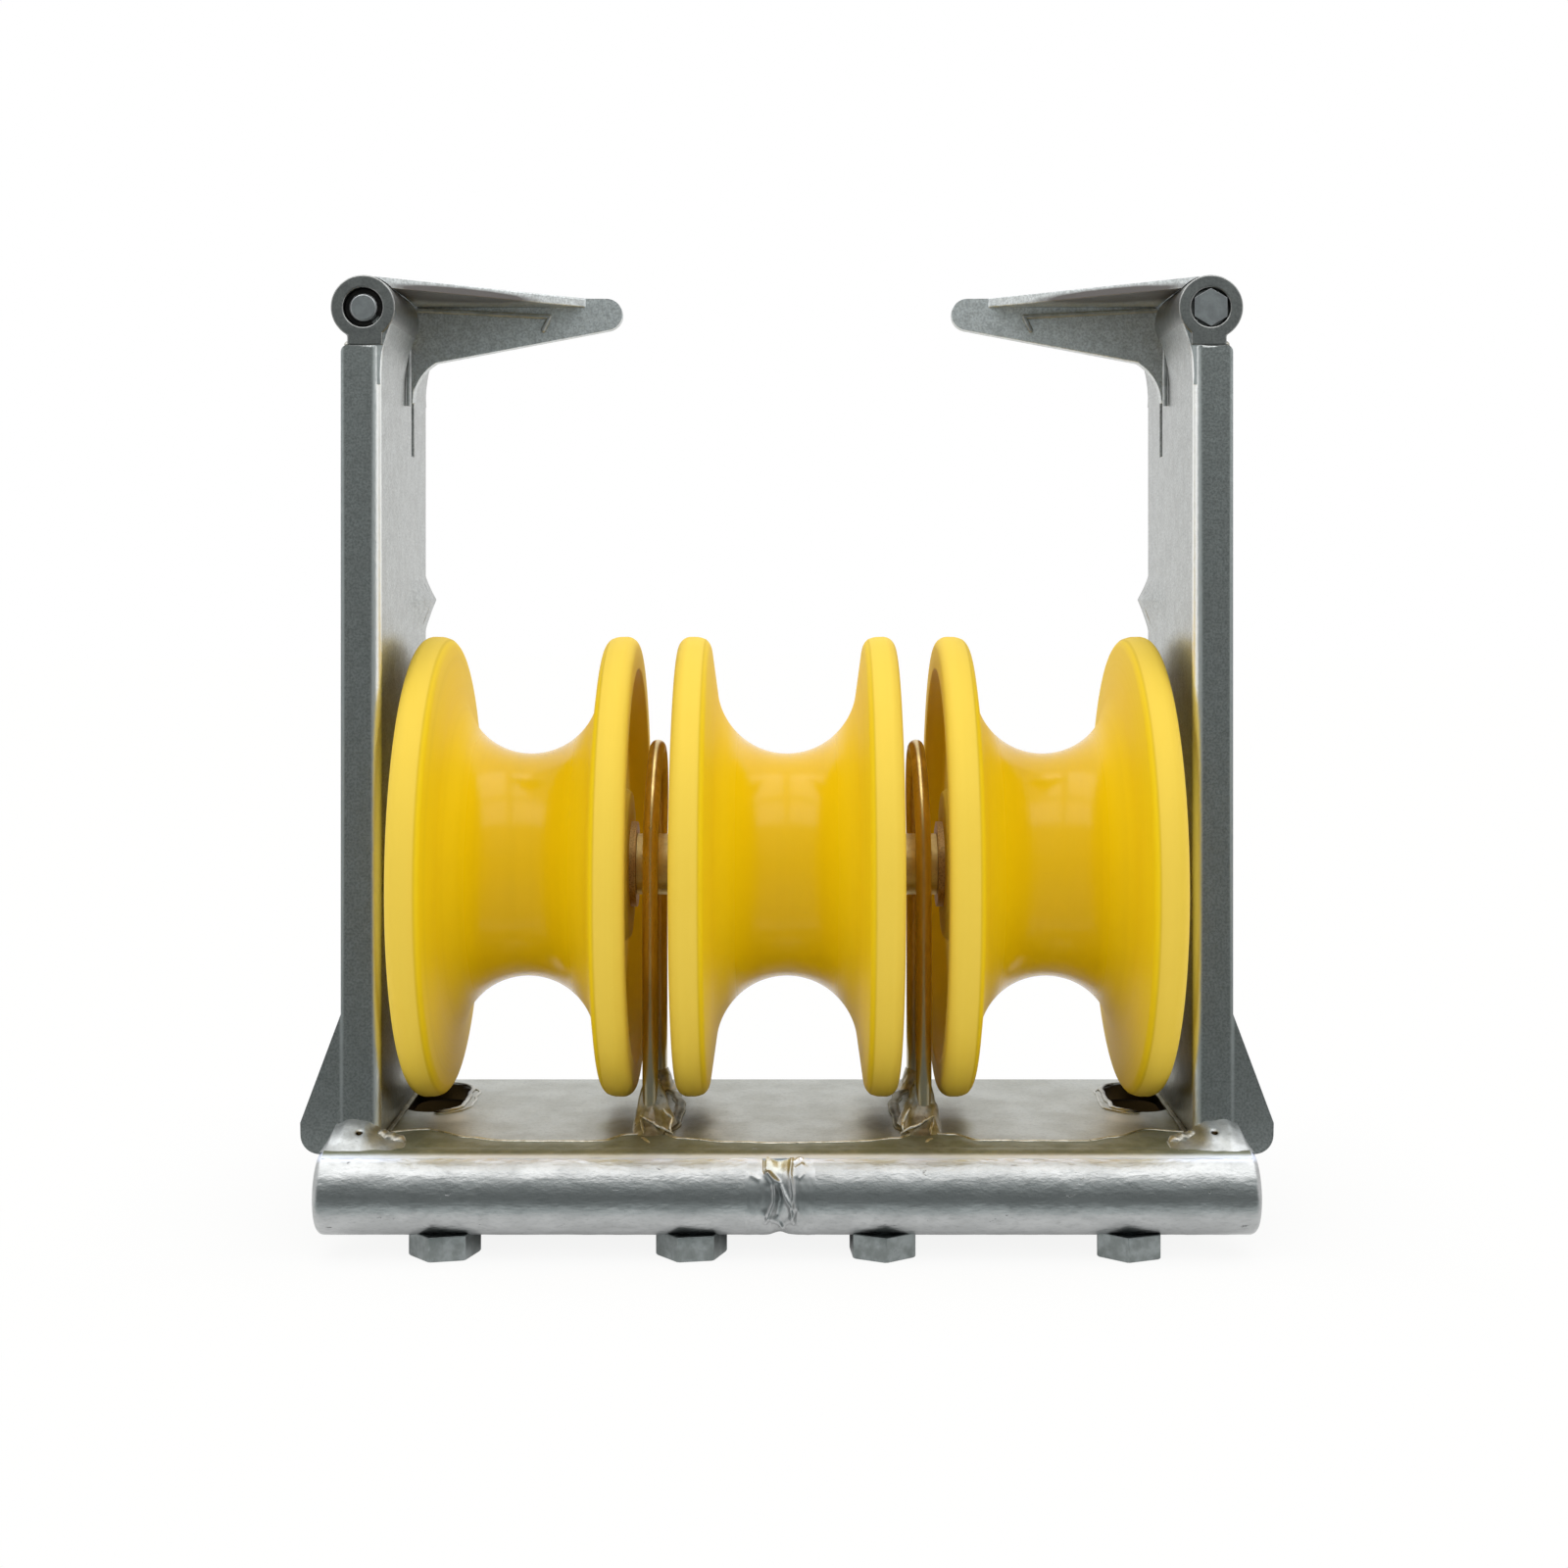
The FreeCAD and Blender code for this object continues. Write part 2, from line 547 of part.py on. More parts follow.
def make_axle():
    """Plain axle through both uprights with spacers, washers and thin nuts."""
    axle = new_body("axle_rod", z=AXLE_Z)
    end, radius = AXLE_END, "axle_diameter / 2"
    spin(axle, "rod", "XZ_Plane", "H_Axis", [
        (f"-{end}", "0"), (end, "0"), (end, f"{radius} - axle_bevel"),
        (f"{end} - axle_bevel", radius), (f"-{end} + axle_bevel", radius),
        (f"-{end}", f"{radius} - axle_bevel")])
    keep(axle, "axle")

    rings = (("axle_spacer_far_left", "-upright_inner", OUTER_SPACER),
             ("axle_spacer_left", f"-(roller_pitch + {INNER_SPACER}) / 2", INNER_SPACER),
             ("axle_spacer_right", f"(roller_pitch - {INNER_SPACER}) / 2", INNER_SPACER),
             ("axle_spacer_far_right", f"upright_inner - {OUTER_SPACER}", OUTER_SPACER))
    for label, start, length in rings:
        body = new_body(label + "_body", z=AXLE_Z)
        tube = [(start, f"{radius} + spacer_fit"), (f"{start} + {length}", f"{radius} + spacer_fit"),
                (f"{start} + {length}", "spacer_diameter / 2"), (start, "spacer_diameter / 2")]
        spin(body, "tube", "XZ_Plane", "H_Axis", tube)
        keep(body, label)

    washers, nuts = [], []
    for side, sign in (("left", "-"), ("right", "")):
        washer = new_body(f"washer_{side}", z=AXLE_Z)
        inner, outer = WASHER_START, NUT_START
        spin(washer, "ring", "XZ_Plane", "H_Axis", [
            (f"{sign}{inner}", radius), (f"{sign}{outer}", radius),
            (f"{sign}{outer}", "washer_diameter / 2"), (f"{sign}{inner}", "washer_diameter / 2")])
        washers.append(washer)
        nut = new_body(f"nut_{side}", z=AXLE_Z)
        flat = "nut_flats / 2"
        corner = f"({flat} * {HEX_CORNER})"
        start = f"-{NUT_START} - nut_height" if sign else NUT_START
        extrude(nut, "hexagon", "YZ_Plane", start, "nut_height", [
            (f"-{corner}", "0"), (f"-{corner} / 2", f"-{flat}"), (f"{corner} / 2", f"-{flat}"),
            (corner, "0"), (f"{corner} / 2", flat), (f"-{corner} / 2", flat)])
        extrude(nut, "bore", "YZ_Plane", f"{start} - {OVERRUN}", f"nut_height + 2 * {OVERRUN}", (
            ("0", "0", radius),), cut=True)
        face = f"{NUT_START} + nut_height"
        past = f"{corner} + {OVERRUN}"
        fall = f"({past} - {flat}) * tan(hex_bevel)"
        spin(nut, "bevel", "XZ_Plane", "H_Axis", [
            (f"{sign}({face})", flat), (f"{sign}({face} + {OVERRUN})", flat),
            (f"{sign}({face} + {OVERRUN})", past), (f"{sign}({face} - {fall})", past)], cut=True)
        nuts.append(nut)
    group("axle_washers", washers)
    group("axle_nuts", nuts)


def roller_section():
    """Half section of a roller, rim to rim: groove arc, drafted walls, round rims, dished sides."""
    neck, rim = "neck_diameter / 2", "rim_diameter / 2"
    draft = "groove_draft"
    inner, outer = "rim_inner_round", "rim_outer_round"
    face = "roller_width / 2"
    wall_x = f"groove_radius * cos({draft})"
    wall_r = f"({neck} + groove_radius - groove_radius * sin({draft}))"
    centre_x = (f"(({wall_x}) + ({inner} + ({rim} - {inner} - {wall_r}) * sin({draft}))"
                f" / cos({draft}))")
    tangent_x = f"{centre_x} - {inner} * cos({draft})"
    tangent_r = f"{rim} - {inner} + {inner} * sin({draft})"
    floor = f"{face} - dish_depth"
    ring = f"{rim} - dish_rim"
    boss = "hub_diameter / 2"
    bore = "bush_outside / 2"
    right = [
        (wall_x, wall_r), (tangent_x, tangent_r, inner, -1), (centre_x, rim),
        (f"{face} - {outer}", rim, outer, -1), (face, f"{rim} - {outer}"),
        (face, ring), (floor, f"{ring} - dish_slope"), (floor, f"{boss} + dish_slope"),
        (HUB_FACE, boss), (HUB_FACE, bore)]
    left = []
    for index, point in enumerate(reversed(right)):
        spot = (f"-({point[0]})", point[1])
        before = right[len(right) - 2 - index] if index < len(right) - 1 else ()
        left.append(spot + before[2:] if len(before) > 2 else spot)
    left[-1] = left[-1] + ("groove_radius", 1)
    low = [("0", neck, "groove_radius", 1)]
    return left + low + right


def make_rollers():
    """Three moulded rollers, each on two flanged bushes pressed into its bore."""
    radius, bore = "bush_outside / 2", "axle_diameter / 2 + axle_fit"
    for side, sign in (("left", "-1"), ("middle", "0"), ("right", "1")):
        x = f"{sign} * roller_pitch"
        body = new_body(f"roller_{side}_body", x=x, z=AXLE_Z)
        spin(body, "section", "XZ_Plane", "H_Axis", roller_section())
        keep(body, f"roller_{side}")
        bush = new_body(f"bush_{side}_body", x=x, z=AXLE_Z)
        spin(bush, "section", "XZ_Plane", "H_Axis", [
            (f"{HUB_FACE} - bush_length", bore), (BUSH_FACE, bore),
            (BUSH_FACE, "bush_flange_diameter / 2"), (HUB_FACE, "bush_flange_diameter / 2"),
            (HUB_FACE, radius), (f"{HUB_FACE} - bush_length", radius)])
        other = doc.addObject("Part::Mirroring", f"bush_{side}_other")
        other.Source = bush
        other.Normal = FreeCAD.Vector(1, 0, 0)
        bind(other, **{"Base.x": x})
        group(f"roller_bushes_{side}", [bush, other])


def make_dividers():
    """Wire hairpins that stand on the base plate astride the axle, between the rollers."""
    body = new_body("divider", x="-roller_pitch / 2 - wire_offset", z=PLATE_TOP)
    bow = "wire_leg_y"
    spring_line = "axle_rise + wire_top - wire_diameter / 2 - wire_leg_y"
    crown = "axle_rise + wire_top - wire_diameter / 2"
    path = new_sketch(body, "route", "YZ_Plane")
    reach, rise = amount(bow), amount(spring_line)
    front_foot = FreeCAD.Vector(-reach, 0, 0)
    front_top = FreeCAD.Vector(-reach, rise, 0)
    middle = FreeCAD.Vector(0, amount(crown), 0)
    rear_top = FreeCAD.Vector(reach, rise, 0)
    rear_foot = FreeCAD.Vector(reach, 0, 0)
    path.addGeometry(Part.LineSegment(front_foot, front_top))
    path.addGeometry(arc_between(front_top, middle, reach, -1))
    path.addGeometry(arc_between(middle, rear_top, reach, -1))
    path.addGeometry(Part.LineSegment(rear_top, rear_foot))
    path.addConstraint(Sketcher.Constraint("Coincident", 0, 2, 1, 2))
    path.addConstraint(Sketcher.Constraint("Coincident", 1, 1, 2, 2))
    path.addConstraint(Sketcher.Constraint("Coincident", 2, 1, 3, 1))
    fix_point(path, 0, 1, f"-{bow}", "0")
    fix_point(path, 1, 2, f"-{bow}", spring_line)
    fix_point(path, 1, 1, "0", crown)
    fix_point(path, 2, 1, bow, spring_line)
    fix_point(path, 3, 2, bow, "0")
    for arc in (1, 2):
        fix(path, Sketcher.Constraint("Radius", arc, amount(bow)), bow)
    section = new_sketch(body, "section", "XY_Plane")
    circle(section, "0", f"-{bow}", "wire_diameter / 2")
    pipe = body.newObject("PartDesign::AdditivePipe", "wire")
    pipe.Profile = section
    pipe.Spine = (path, ["Edge1", "Edge2", "Edge3", "Edge4"])
    doc.recompute()
    keep(body, "divider_wire_left")
    mirrored(body, "divider_wire_right")


def hinge_body(name):
    """A body whose local origin is on the left hinge axis, +X pointing into the block."""
    return new_body(name, x=f"-{HINGE_X}", z=HINGE_Z)


def make_knuckles():
    """Fixed front and rear knuckles with a foot on the upright and a recess in the outer end."""
    foot_top = "-hinge_rise"
    inner = "hinge_out + knuckle_foot_inset"
    half = "upright_depth / 2"
    bodies = []
    spans = (("front", f"-{half}", "front_knuckle_end", f"-{half} - {OVERRUN}"),
             ("rear", "rear_knuckle_start", half, f"{half} - clip_recess_depth"))
    for side, start, end, recess in spans:
        body = hinge_body(f"knuckle_{side}")
        length = f"({end}) - ({start})"
        extrude(body, "tube", "XZ_Plane", start, length, (("0", "0", "knuckle_diameter / 2"),))
        extrude(body, "foot", "XZ_Plane", start, length, rectangle(
            f"{inner} - knuckle_foot_width", foot_top, inner, "-knuckle_diameter / 4"))
        extrude(body, "bore", "XZ_Plane", f"{start} - {OVERRUN}", f"{length} + 2 * {OVERRUN}", (
            ("0", "0", "pin_diameter / 2"),), cut=True)
        extrude(body, "recess", "XZ_Plane", recess, f"clip_recess_depth + {OVERRUN}", (
            ("0", "0", "clip_recess / 2"),), cut=True)
        bodies.append(body)
    left = group("hinge_knuckles_left", bodies)
    mirrored(left, "hinge_knuckles_right")


def make_pins():
    """Hinge pins: plain and clipped at both ends on the left, hex-headed in front on the right."""
    half = "upright_depth / 2"
    radius, groove = "pin_diameter / 2", "clip_inside / 2"
    clip_far = f"{half} - clip_recess_depth + clip_thickness"
    clip_near = f"{half} - clip_recess_depth"
    tip = f"{half} - pin_inset"
    ridge = "pin_bevel"

    def pin(name, x, clipped_front):
        """One pin, with a clip groove at the rear and one in front where it has no head."""
        body = new_body(name, x=x, z=HINGE_Z)
        rear = [(radius, clip_near), (groove, clip_near), (groove, clip_far), (radius, clip_far),
                (radius, f"{tip} - {ridge}"), (f"{radius} - {ridge}", tip), ("0", tip)]
        front = [("0", f"-({tip})"), (f"{radius} - {ridge}", f"-({tip})"),
                 (radius, f"-({tip} - {ridge})")]
        if clipped_front:
            front += [(radius, f"-({clip_far})"), (groove, f"-({clip_far})"),
                      (groove, f"-({clip_near})"), (radius, f"-({clip_near})")]
        spin(body, "rod", "XY_Plane", "V_Axis", front + rear)
        return body

    left = pin("pin_left", f"-{HINGE_X}", True)
    keep(left, "hinge_pin_left")
    right = pin("pin_right", HINGE_X, False)
    flat = "pin_head_flats / 2"
    corner = f"({flat} * {HEX_CORNER})"
    extrude(right, "head", "XZ_Plane", f"-({half} - pin_inset / 2)",
            "clip_recess_depth - pin_inset / 2", [
                ("0", corner), (f"-{flat}", f"{corner} / 2"), (f"-{flat}", f"-{corner} / 2"),
                ("0", f"-{corner}"), (flat, f"-{corner} / 2"), (flat, f"{corner} / 2")])
    keep(right, "hinge_pin_right")

    def clip(name, x, start):
        """An open ring in the pin's groove, its mouth at the lower right."""
        body = new_body(name, x=x, z=HINGE_Z)
        extrude(body, "ring", "XZ_Plane", start, "clip_thickness", (
            ("0", "0", "clip_outside / 2"),))
        before, through = f"({start}) - {OVERRUN}", f"clip_thickness + 2 * {OVERRUN}"
        extrude(body, "eye", "XZ_Plane", before, through, (("0", "0", "clip_inside / 2"),), cut=True)
        lean, edge = "clip_outside", "clip_mouth / 2"
        extrude(body, "mouth", "XZ_Plane", before, through, [
            ("0", f"-{edge}"), (lean, f"-{edge} - {lean}"), (lean, f"{edge} - {lean}"),
            ("0", f"{edge}")], cut=True)
        return body

    front, rear = f"-({clip_far})", clip_near
    group("hinge_clips_left", [clip("clip_left_front", f"-{HINGE_X}", front),
                               clip("clip_left_rear", f"-{HINGE_X}", rear)])
    keep(clip("clip_right_rear", HINGE_X, rear), "hinge_clip_right")


def make_gates():
    """Gate: blade with a heel and a tapered top flange, hinged on the pin, with its stop pin."""
    body = hinge_body("gate")
    top = "knuckle_diameter / 2"
    tip_x, tip_r = "gate_tip_x", "gate_tip_radius"
    low_x = f"{tip_x} + {tip_r} * sin({EDGE_SLOPE})"
    low_z = f"{TIP_Z} - {tip_r} * cos({EDGE_SLOPE})"
    blade = [
        ("-gate_heel_out + gate_heel_bevel", "-gate_heel_drop"),
        ("gate_heel_x", "-gate_heel_drop", "gate_throat", -1),
        ("gate_root_x", "-gate_root_drop"), (low_x, low_z, tip_r, 1),
        (f"{tip_x} + {tip_r}", TIP_Z, tip_r, 1), (tip_x, top), ("0", top, top, 1),
        (f"-{top}", "0"), ("-gate_heel_out", "-gate_heel_drop + gate_heel_bevel")]
    extrude(body, "blade", "XZ_Plane", "gate_front", "gate_thickness", blade)
    extrude(body, "knuckle", "XZ_Plane", "gate_front", "gate_knuckle", (("0", "0", top),))
    rooted = "gate_front + gate_thickness / 2"
    flange = [("gate_flange_x", "-gate_flange_front"), ("gate_flange_tip", "gate_front"),
              ("gate_flange_tip", rooted), ("gate_flange_x", rooted)]
    extrude(body, "top_flange", "XY_Plane", f"{top} - gate_flange", "gate_flange", flange)
    clear = f"{top} + gate_knuckle_gap"
    extrude(body, "front_clearance", "XZ_Plane", f"-gate_flange_front - {OVERRUN}",
            f"gate_flange_front + {OVERRUN} + gate_front", (("0", "0", clear),), cut=True)
    before = f"gate_front - {OVERRUN}"
    extrude(body, "bore", "XZ_Plane", before, f"gate_knuckle + 2 * {OVERRUN}", (
        ("0", "0", "pin_diameter / 2 + pin_fit"),), cut=True)
    stop_x = "-(sheet_thickness + stop_gap + stop_diameter / 2 - hinge_out)"
    extrude(body, "stop_hole", "XZ_Plane", before, f"gate_thickness + 2 * {OVERRUN}", (
        (stop_x, "-stop_drop", "stop_diameter / 2"),), cut=True)
    keep(body, "gate_finger_left")
    mirrored(body, "gate_finger_right")

    stop = hinge_body("stop")
    middle = "gate_front + gate_thickness / 2"
    extrude(stop, "pin", "XZ_Plane", f"{middle} - stop_length / 2", "stop_length", (
        (stop_x, "-stop_drop", "stop_diameter / 2"),))
    keep(stop, "gate_stop_left")
    mirrored(stop, "gate_stop_right")


def wire_run(points, radius):
    """A round wire through the points, with a ball at each corner and at its end."""
    pieces = []
    for start, end in zip(points, points[1:]):
        along = end - start
        pieces.append(Part.makeCylinder(radius, along.Length, start, along))
        pieces.append(Part.makeSphere(radius, end))
    return pieces[0].fuse(pieces[1:]).removeSplitter()


def make_springs():
    """Torsion springs on the hinge pins: a coil with a leg on the upright, and an arm on the gate."""
    radius = amount(SPRING_RADIUS)
    wire = amount("spring_wire / 2")
    turns = amount("spring_turns")
    first = amount("front_knuckle_end + spring_gap") + wire
    finish = amount("gate_front - spring_gap") - wire
    # The leg leaves the coil on its tangent, so it drifts forward on its way down past the knuckle.
    drift = amount("hinge_rise") / (2 * math.pi * radius * turns)
    length = (finish - first) / (1 + drift)
    helix = Part.makeHelix(length / turns, length, radius, 0, True)
    helix.Placement = FreeCAD.Placement(
        FreeCAD.Vector(0, finish - length, 0), FreeCAD.Rotation(X_AXIS, -90))
    coil = helix.Edges[0]
    start = coil.valueAt(coil.FirstParameter)
    tangent = coil.tangentAt(coil.FirstParameter)
    foot = start - tangent * amount("spring_leg_end")
    section = Part.Wire(Part.makeCircle(wire, foot, tangent))
    route = Part.Wire([Part.makeLine(foot, start), coil])
    spot = FreeCAD.Vector(-amount(HINGE_X), 0, amount(HINGE_Z))
    spring = doc.addObject("Part::Feature", "spring")
    spring.Shape = route.makePipeShell([section], True, True)
    spring.Placement = FreeCAD.Placement(spot, FreeCAD.Rotation())
    keep(spring, "gate_spring_left")
    mirrored(spring, "gate_spring_right")

    lane = amount("gate_front - arm_seat") - wire
    height = amount("knuckle_diameter / 2 - gate_flange - arm_seat") - wire
    clear = radius + amount("spring_gap") + 2 * wire
    reach, drop = amount("arm_reach"), amount("arm_hook")
    near = FreeCAD.Vector(math.sqrt(clear * clear - height * height), lane, height)
    far = FreeCAD.Vector(reach, lane, height - amount("arm_fall"))
    hook = far - FreeCAD.Vector(drop / 2, 0, drop)
    arm = doc.addObject("Part::Feature", "arm")
    arm.Shape = wire_run([near, far, hook], wire)
    arm.Placement = FreeCAD.Placement(spot, FreeCAD.Rotation())
    keep(arm, "gate_spring_arm_left")
    mirrored(arm, "gate_spring_arm_right")


def check_document():
    """Stop on any failed object or bad shape."""
    doc.recompute()
    for thing in doc.Objects:
        if "Invalid" in thing.State or "Error" in thing.State:
            raise RuntimeError(f"{thing.Name} ({thing.Label}) failed: {thing.State}")
    for thing in parts:
        if thing.Shape.isNull() or not thing.Shape.isValid() or not thing.Shape.Solids:
            raise RuntimeError(f"{thing.Label} has no valid solid")


def write_parts():
    """Write one STEP file per finished piece."""
    os.makedirs("parts", exist_ok=True)
    for thing in parts:
        thing.Shape.exportStep(f"parts/{thing.Label}.step")
        box = thing.Shape.BoundBox
        print(f"{thing.Label}: {len(thing.Shape.Solids)} solid(s), {thing.Shape.Volume:.0f} mm3, "
              f"X {box.XMin:.1f} to {box.XMax:.1f}, Y {box.YMin:.1f} to {box.YMax:.1f}, "
              f"Z {box.ZMin:.1f} to {box.ZMax:.1f}")


fill_sheet()
make_base_plate()
make_front_bar()
make_bolts()
make_uprights()
make_axle()
make_rollers()
make_dividers()
make_knuckles()
make_pins()
make_gates()
make_springs()
check_document()
write_parts()
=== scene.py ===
"""Cable pulley block: the looks of its rollers, welded frame, divider wires and sprung gates.

Lengths are written in millimetres, those of the studio in metres, and meshes are in metres. +Z is
up, X runs along the axle and the front bar faces -Y. Angles are written in degrees.
"""

import logging
import math
from collections.abc import Mapping, Sequence
from dataclasses import dataclass, replace
from enum import Enum
from functools import cached_property

import bmesh
import bpy
import numpy as np
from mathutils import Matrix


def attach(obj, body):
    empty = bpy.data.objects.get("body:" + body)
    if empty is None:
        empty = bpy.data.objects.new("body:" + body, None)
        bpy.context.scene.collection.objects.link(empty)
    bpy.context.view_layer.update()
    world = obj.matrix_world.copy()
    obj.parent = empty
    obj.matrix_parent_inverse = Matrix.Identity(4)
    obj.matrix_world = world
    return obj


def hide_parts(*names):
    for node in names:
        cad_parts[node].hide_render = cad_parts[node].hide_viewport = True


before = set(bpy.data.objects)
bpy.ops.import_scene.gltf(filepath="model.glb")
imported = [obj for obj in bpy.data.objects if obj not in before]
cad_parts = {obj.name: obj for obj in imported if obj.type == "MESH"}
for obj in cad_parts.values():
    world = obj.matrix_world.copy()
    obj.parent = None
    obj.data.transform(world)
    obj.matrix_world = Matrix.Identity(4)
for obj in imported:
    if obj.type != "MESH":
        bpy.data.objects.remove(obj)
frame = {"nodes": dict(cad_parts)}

log = logging.getLogger("cable_pulley_block")

MM = 0.001
AXLE_HEIGHT = 111.1
ROLLER_PITCH = 84.6
PLATE_TOP = 30.8
BAR_PLACE = (-58.3, 18.7)
BAR_RADIUS = 12.7
WIRE_X = 43.0
WIRE_LEG = 28.0
UPRIGHT_INNER = 126.1
SLOT_X = 117.0
PIT_PLACE = (131.2, -52.5)

Material = bpy.types.Material
Colour = tuple[float, float, float]
Point = tuple[float, float, float]
Pair = tuple[float, float]
Knots = tuple[Pair, ...]
Field = np.ndarray | float
Rough = tuple[tuple[float, int, float], ...]  # depth, seed and wavelength of each layer of waves


class Body(Enum):
    """The moving groups of the block."""

    FRAME = "frame"
    ROLLER_LEFT = "roller_left"
    ROLLER_MIDDLE = "roller_middle"
    ROLLER_RIGHT = "roller_right"
    GATE_LEFT = "gate_left"
    GATE_RIGHT = "gate_right"


class Side(Enum):
    """A side of the block, with the sign of its X."""

    LEFT = -1
    RIGHT = 1

    @property
    def word(self) -> str:
        """The side as names have it."""
        return self.name.lower()


# ---- shader expressions


@dataclass(frozen=True)
class Value:
    """A shader socket that takes part in Python sums."""

    shader: "Shader"
    socket: bpy.types.NodeSocket

    def __add__(self, other: "Number") -> "Value":
        """Sum."""
        return self.shader.maths("ADD", self, other)

    def __radd__(self, other: "Number") -> "Value":
        """Sum with the number on the left."""
        return self.shader.maths("ADD", other, self)

    def __sub__(self, other: "Number") -> "Value":
        """Difference."""
        return self.shader.maths("SUBTRACT", self, other)

    def __rsub__(self, other: "Number") -> "Value":
        """Difference with the number on the left."""
        return self.shader.maths("SUBTRACT", other, self)

    def __mul__(self, other: "Number") -> "Value":
        """Product."""
        return self.shader.maths("MULTIPLY", self, other)

    def __rmul__(self, other: "Number") -> "Value":
        """Product with the number on the left."""
        return self.shader.maths("MULTIPLY", other, self)

    def __truediv__(self, other: "Number") -> "Value":
        """Quotient."""
        return self.shader.maths("DIVIDE", self, other)

    def __rtruediv__(self, other: "Number") -> "Value":
        """Quotient with the number on the left."""
        return self.shader.maths("DIVIDE", other, self)

    def root(self) -> "Value":
        """Square root."""
        return self.shader.maths("SQRT", self, 0.0)

    def size(self) -> "Value":
        """The value without its sign."""
        return self.shader.maths("ABSOLUTE", self, 0.0)

    def top(self, other: "Number") -> "Value":
        """The greater of the two."""
        return self.shader.maths("MAXIMUM", self, other)

    def twin(self, output: int | str) -> "Value":
        """Another output of the same node."""
        return Value(self.shader, self.socket.node.outputs[output])

    def step(self, low: float, high: float) -> "Value":
        """A smooth step: 0 at low and 1 at high, which may be below low."""
        return self.shader.node("ShaderNodeMapRange", {"Value": self, 1: low, 2: high},
                                interpolation_type="SMOOTHSTEP")


Number = Value | float


class Shader:
    """One material's or world's nodes, built from Python expressions."""

    def __init__(self, name: str, kind: str = "material") -> None:
        """Start an empty material or world of this name."""
        self.kind = kind
        self.owner = getattr(bpy.data, f"{kind}s").new(name)
        self.owner.use_nodes = True
        self.tree = self.owner.node_tree
        self.tree.nodes.clear()

    @cached_property
    def place(self) -> Value:
        """The object's own coordinates."""
        return self.node("ShaderNodeTexCoord", output="Object")

    def node(self, kind: str, inputs: Mapping[int | str, object] | None = None,
             output: int | str = 0, **settings: object) -> Value:
        """Add a node.

        Args:
            kind: the node's type.
            inputs: numbers, tuples or values for its sockets, by name or index.
            output: which of its outputs is returned.
            settings: its own properties, set before its sockets.

        Returns:
            The chosen output.
        """
        made = self.tree.nodes.new(kind)
        for name, setting in settings.items():
            setattr(made, name, setting)
        for key, feed in (inputs or {}).items():
            if isinstance(feed, Value):
                self.tree.links.new(feed.socket, made.inputs[key])
            else:
                made.inputs[key].default_value = feed
        return Value(self, made.outputs[output])

    def maths(self, operation: str, first: Number, second: Number) -> Value:
        """One Math node."""
        return self.node("ShaderNodeMath", {0: first, 1: second}, operation=operation)

    def mix(self, factor: Number, first: Value | Colour, second: Value | Colour) -> Value:
        """A mixed colour: the first where the factor is 0, the second where it is 1."""
        ends = [end if isinstance(end, Value) else (*end, 1.0) for end in (first, second)]
        return self.node("ShaderNodeMix", {0: factor, 6: ends[0], 7: ends[1]}, 2,
                         data_type="RGBA", clamp_factor=True)

    def layered(self, colour: Value, *layers: tuple[Value, Colour]) -> Value:
        """Colours laid over one another.

        Args:
            colour: what lies under all.
            layers: a mask and a colour each, the top one last.

        Returns:
            The colour that shows.
        """
        for mask, tone in layers:
            colour = self.mix(mask, colour, tone)
        return colour

    def noise(self, size: float, detail: float = 2.0, stretch: Point = (1.0, 1.0, 1.0),
              roughness: float = 0.5, where: Value | None = None) -> Value:
        """Cloudy noise from 0 to 1.

        Args:
            size: width of a cloud in millimetres.
            detail: finer layers.
            stretch: how much longer than wide the clouds are along X, Y and Z.
            roughness: weight of the finer layers.
            where: other coordinates than the object's own.

        Returns:
            The noise.
        """
        scale = tuple(1 / (size * MM * part) for part in stretch)
        spot = self.node("ShaderNodeMapping", {"Vector": where or self.place, "Scale": scale})
        return self.node("ShaderNodeTexNoise", {
            "Vector": spot, "Scale": 1.0, "Detail": detail, "Roughness": roughness})

    def axes(self) -> tuple[Value, Value, Value]:
        """The object's X, Y and Z."""
        first = self.node("ShaderNodeSeparateXYZ", {0: self.place})
        return first, first.twin(1), first.twin(2)

    def near(self, centre: Point, reach: Point) -> Value:
        """A soft spot.

        Args:
            centre: the middle of the spot in millimetres.
            reach: how far the spot goes along each axis.

        Returns:
            1 in the middle, 0 past the reach.
        """
        spot: Value = self.place
        for operation, parts in (("SUBTRACT", centre), ("DIVIDE", reach)):
            spot = self.node("ShaderNodeVectorMath", {0: spot, 1: tuple(
                part * MM for part in parts)}, operation=operation)
        length = self.node("ShaderNodeVectorMath", {0: spot}, "Value", operation="LENGTH")
        return length.step(1.0, 0.35)

    def bumps(self, *layers: tuple[Value, float]) -> Value:
        """A normal pushed by heights, one after the other.

        Args:
            layers: a height from 0 to 1, and what 1 stands for in millimetres, for each.

        Returns:
            The normal.
        """
        normal = None
        for height, depth in layers:
            sockets = {"Height": height, "Distance": depth * MM}
            normal = self.node("ShaderNodeBump", sockets | ({"Normal": normal} if normal else {}))
        return normal

    def surface(self, **sockets: object) -> Material:
        """Finish with a Principled surface.

        Args:
            sockets: its sockets, with underscores for the spaces in their names.

        Returns:
            The material.
        """
        feeds = {name.replace("_", " "): feed for name, feed in sockets.items()}
        return self.finish(self.node("ShaderNodeBsdfPrincipled", feeds))

    def finish(self, shade: Value) -> Material | bpy.types.World:
        """Lead a shade to the output of the material or world, which is returned."""
        out = self.tree.nodes.new(f"ShaderNodeOutput{self.kind.title()}")
        self.tree.links.new(shade.socket, out.inputs["Surface"])
        return self.owner


# ---- finishes


def darker(colour: Colour, share: float) -> Colour:
    """A colour brought down to a share of itself."""
    return tuple(part * share for part in colour)


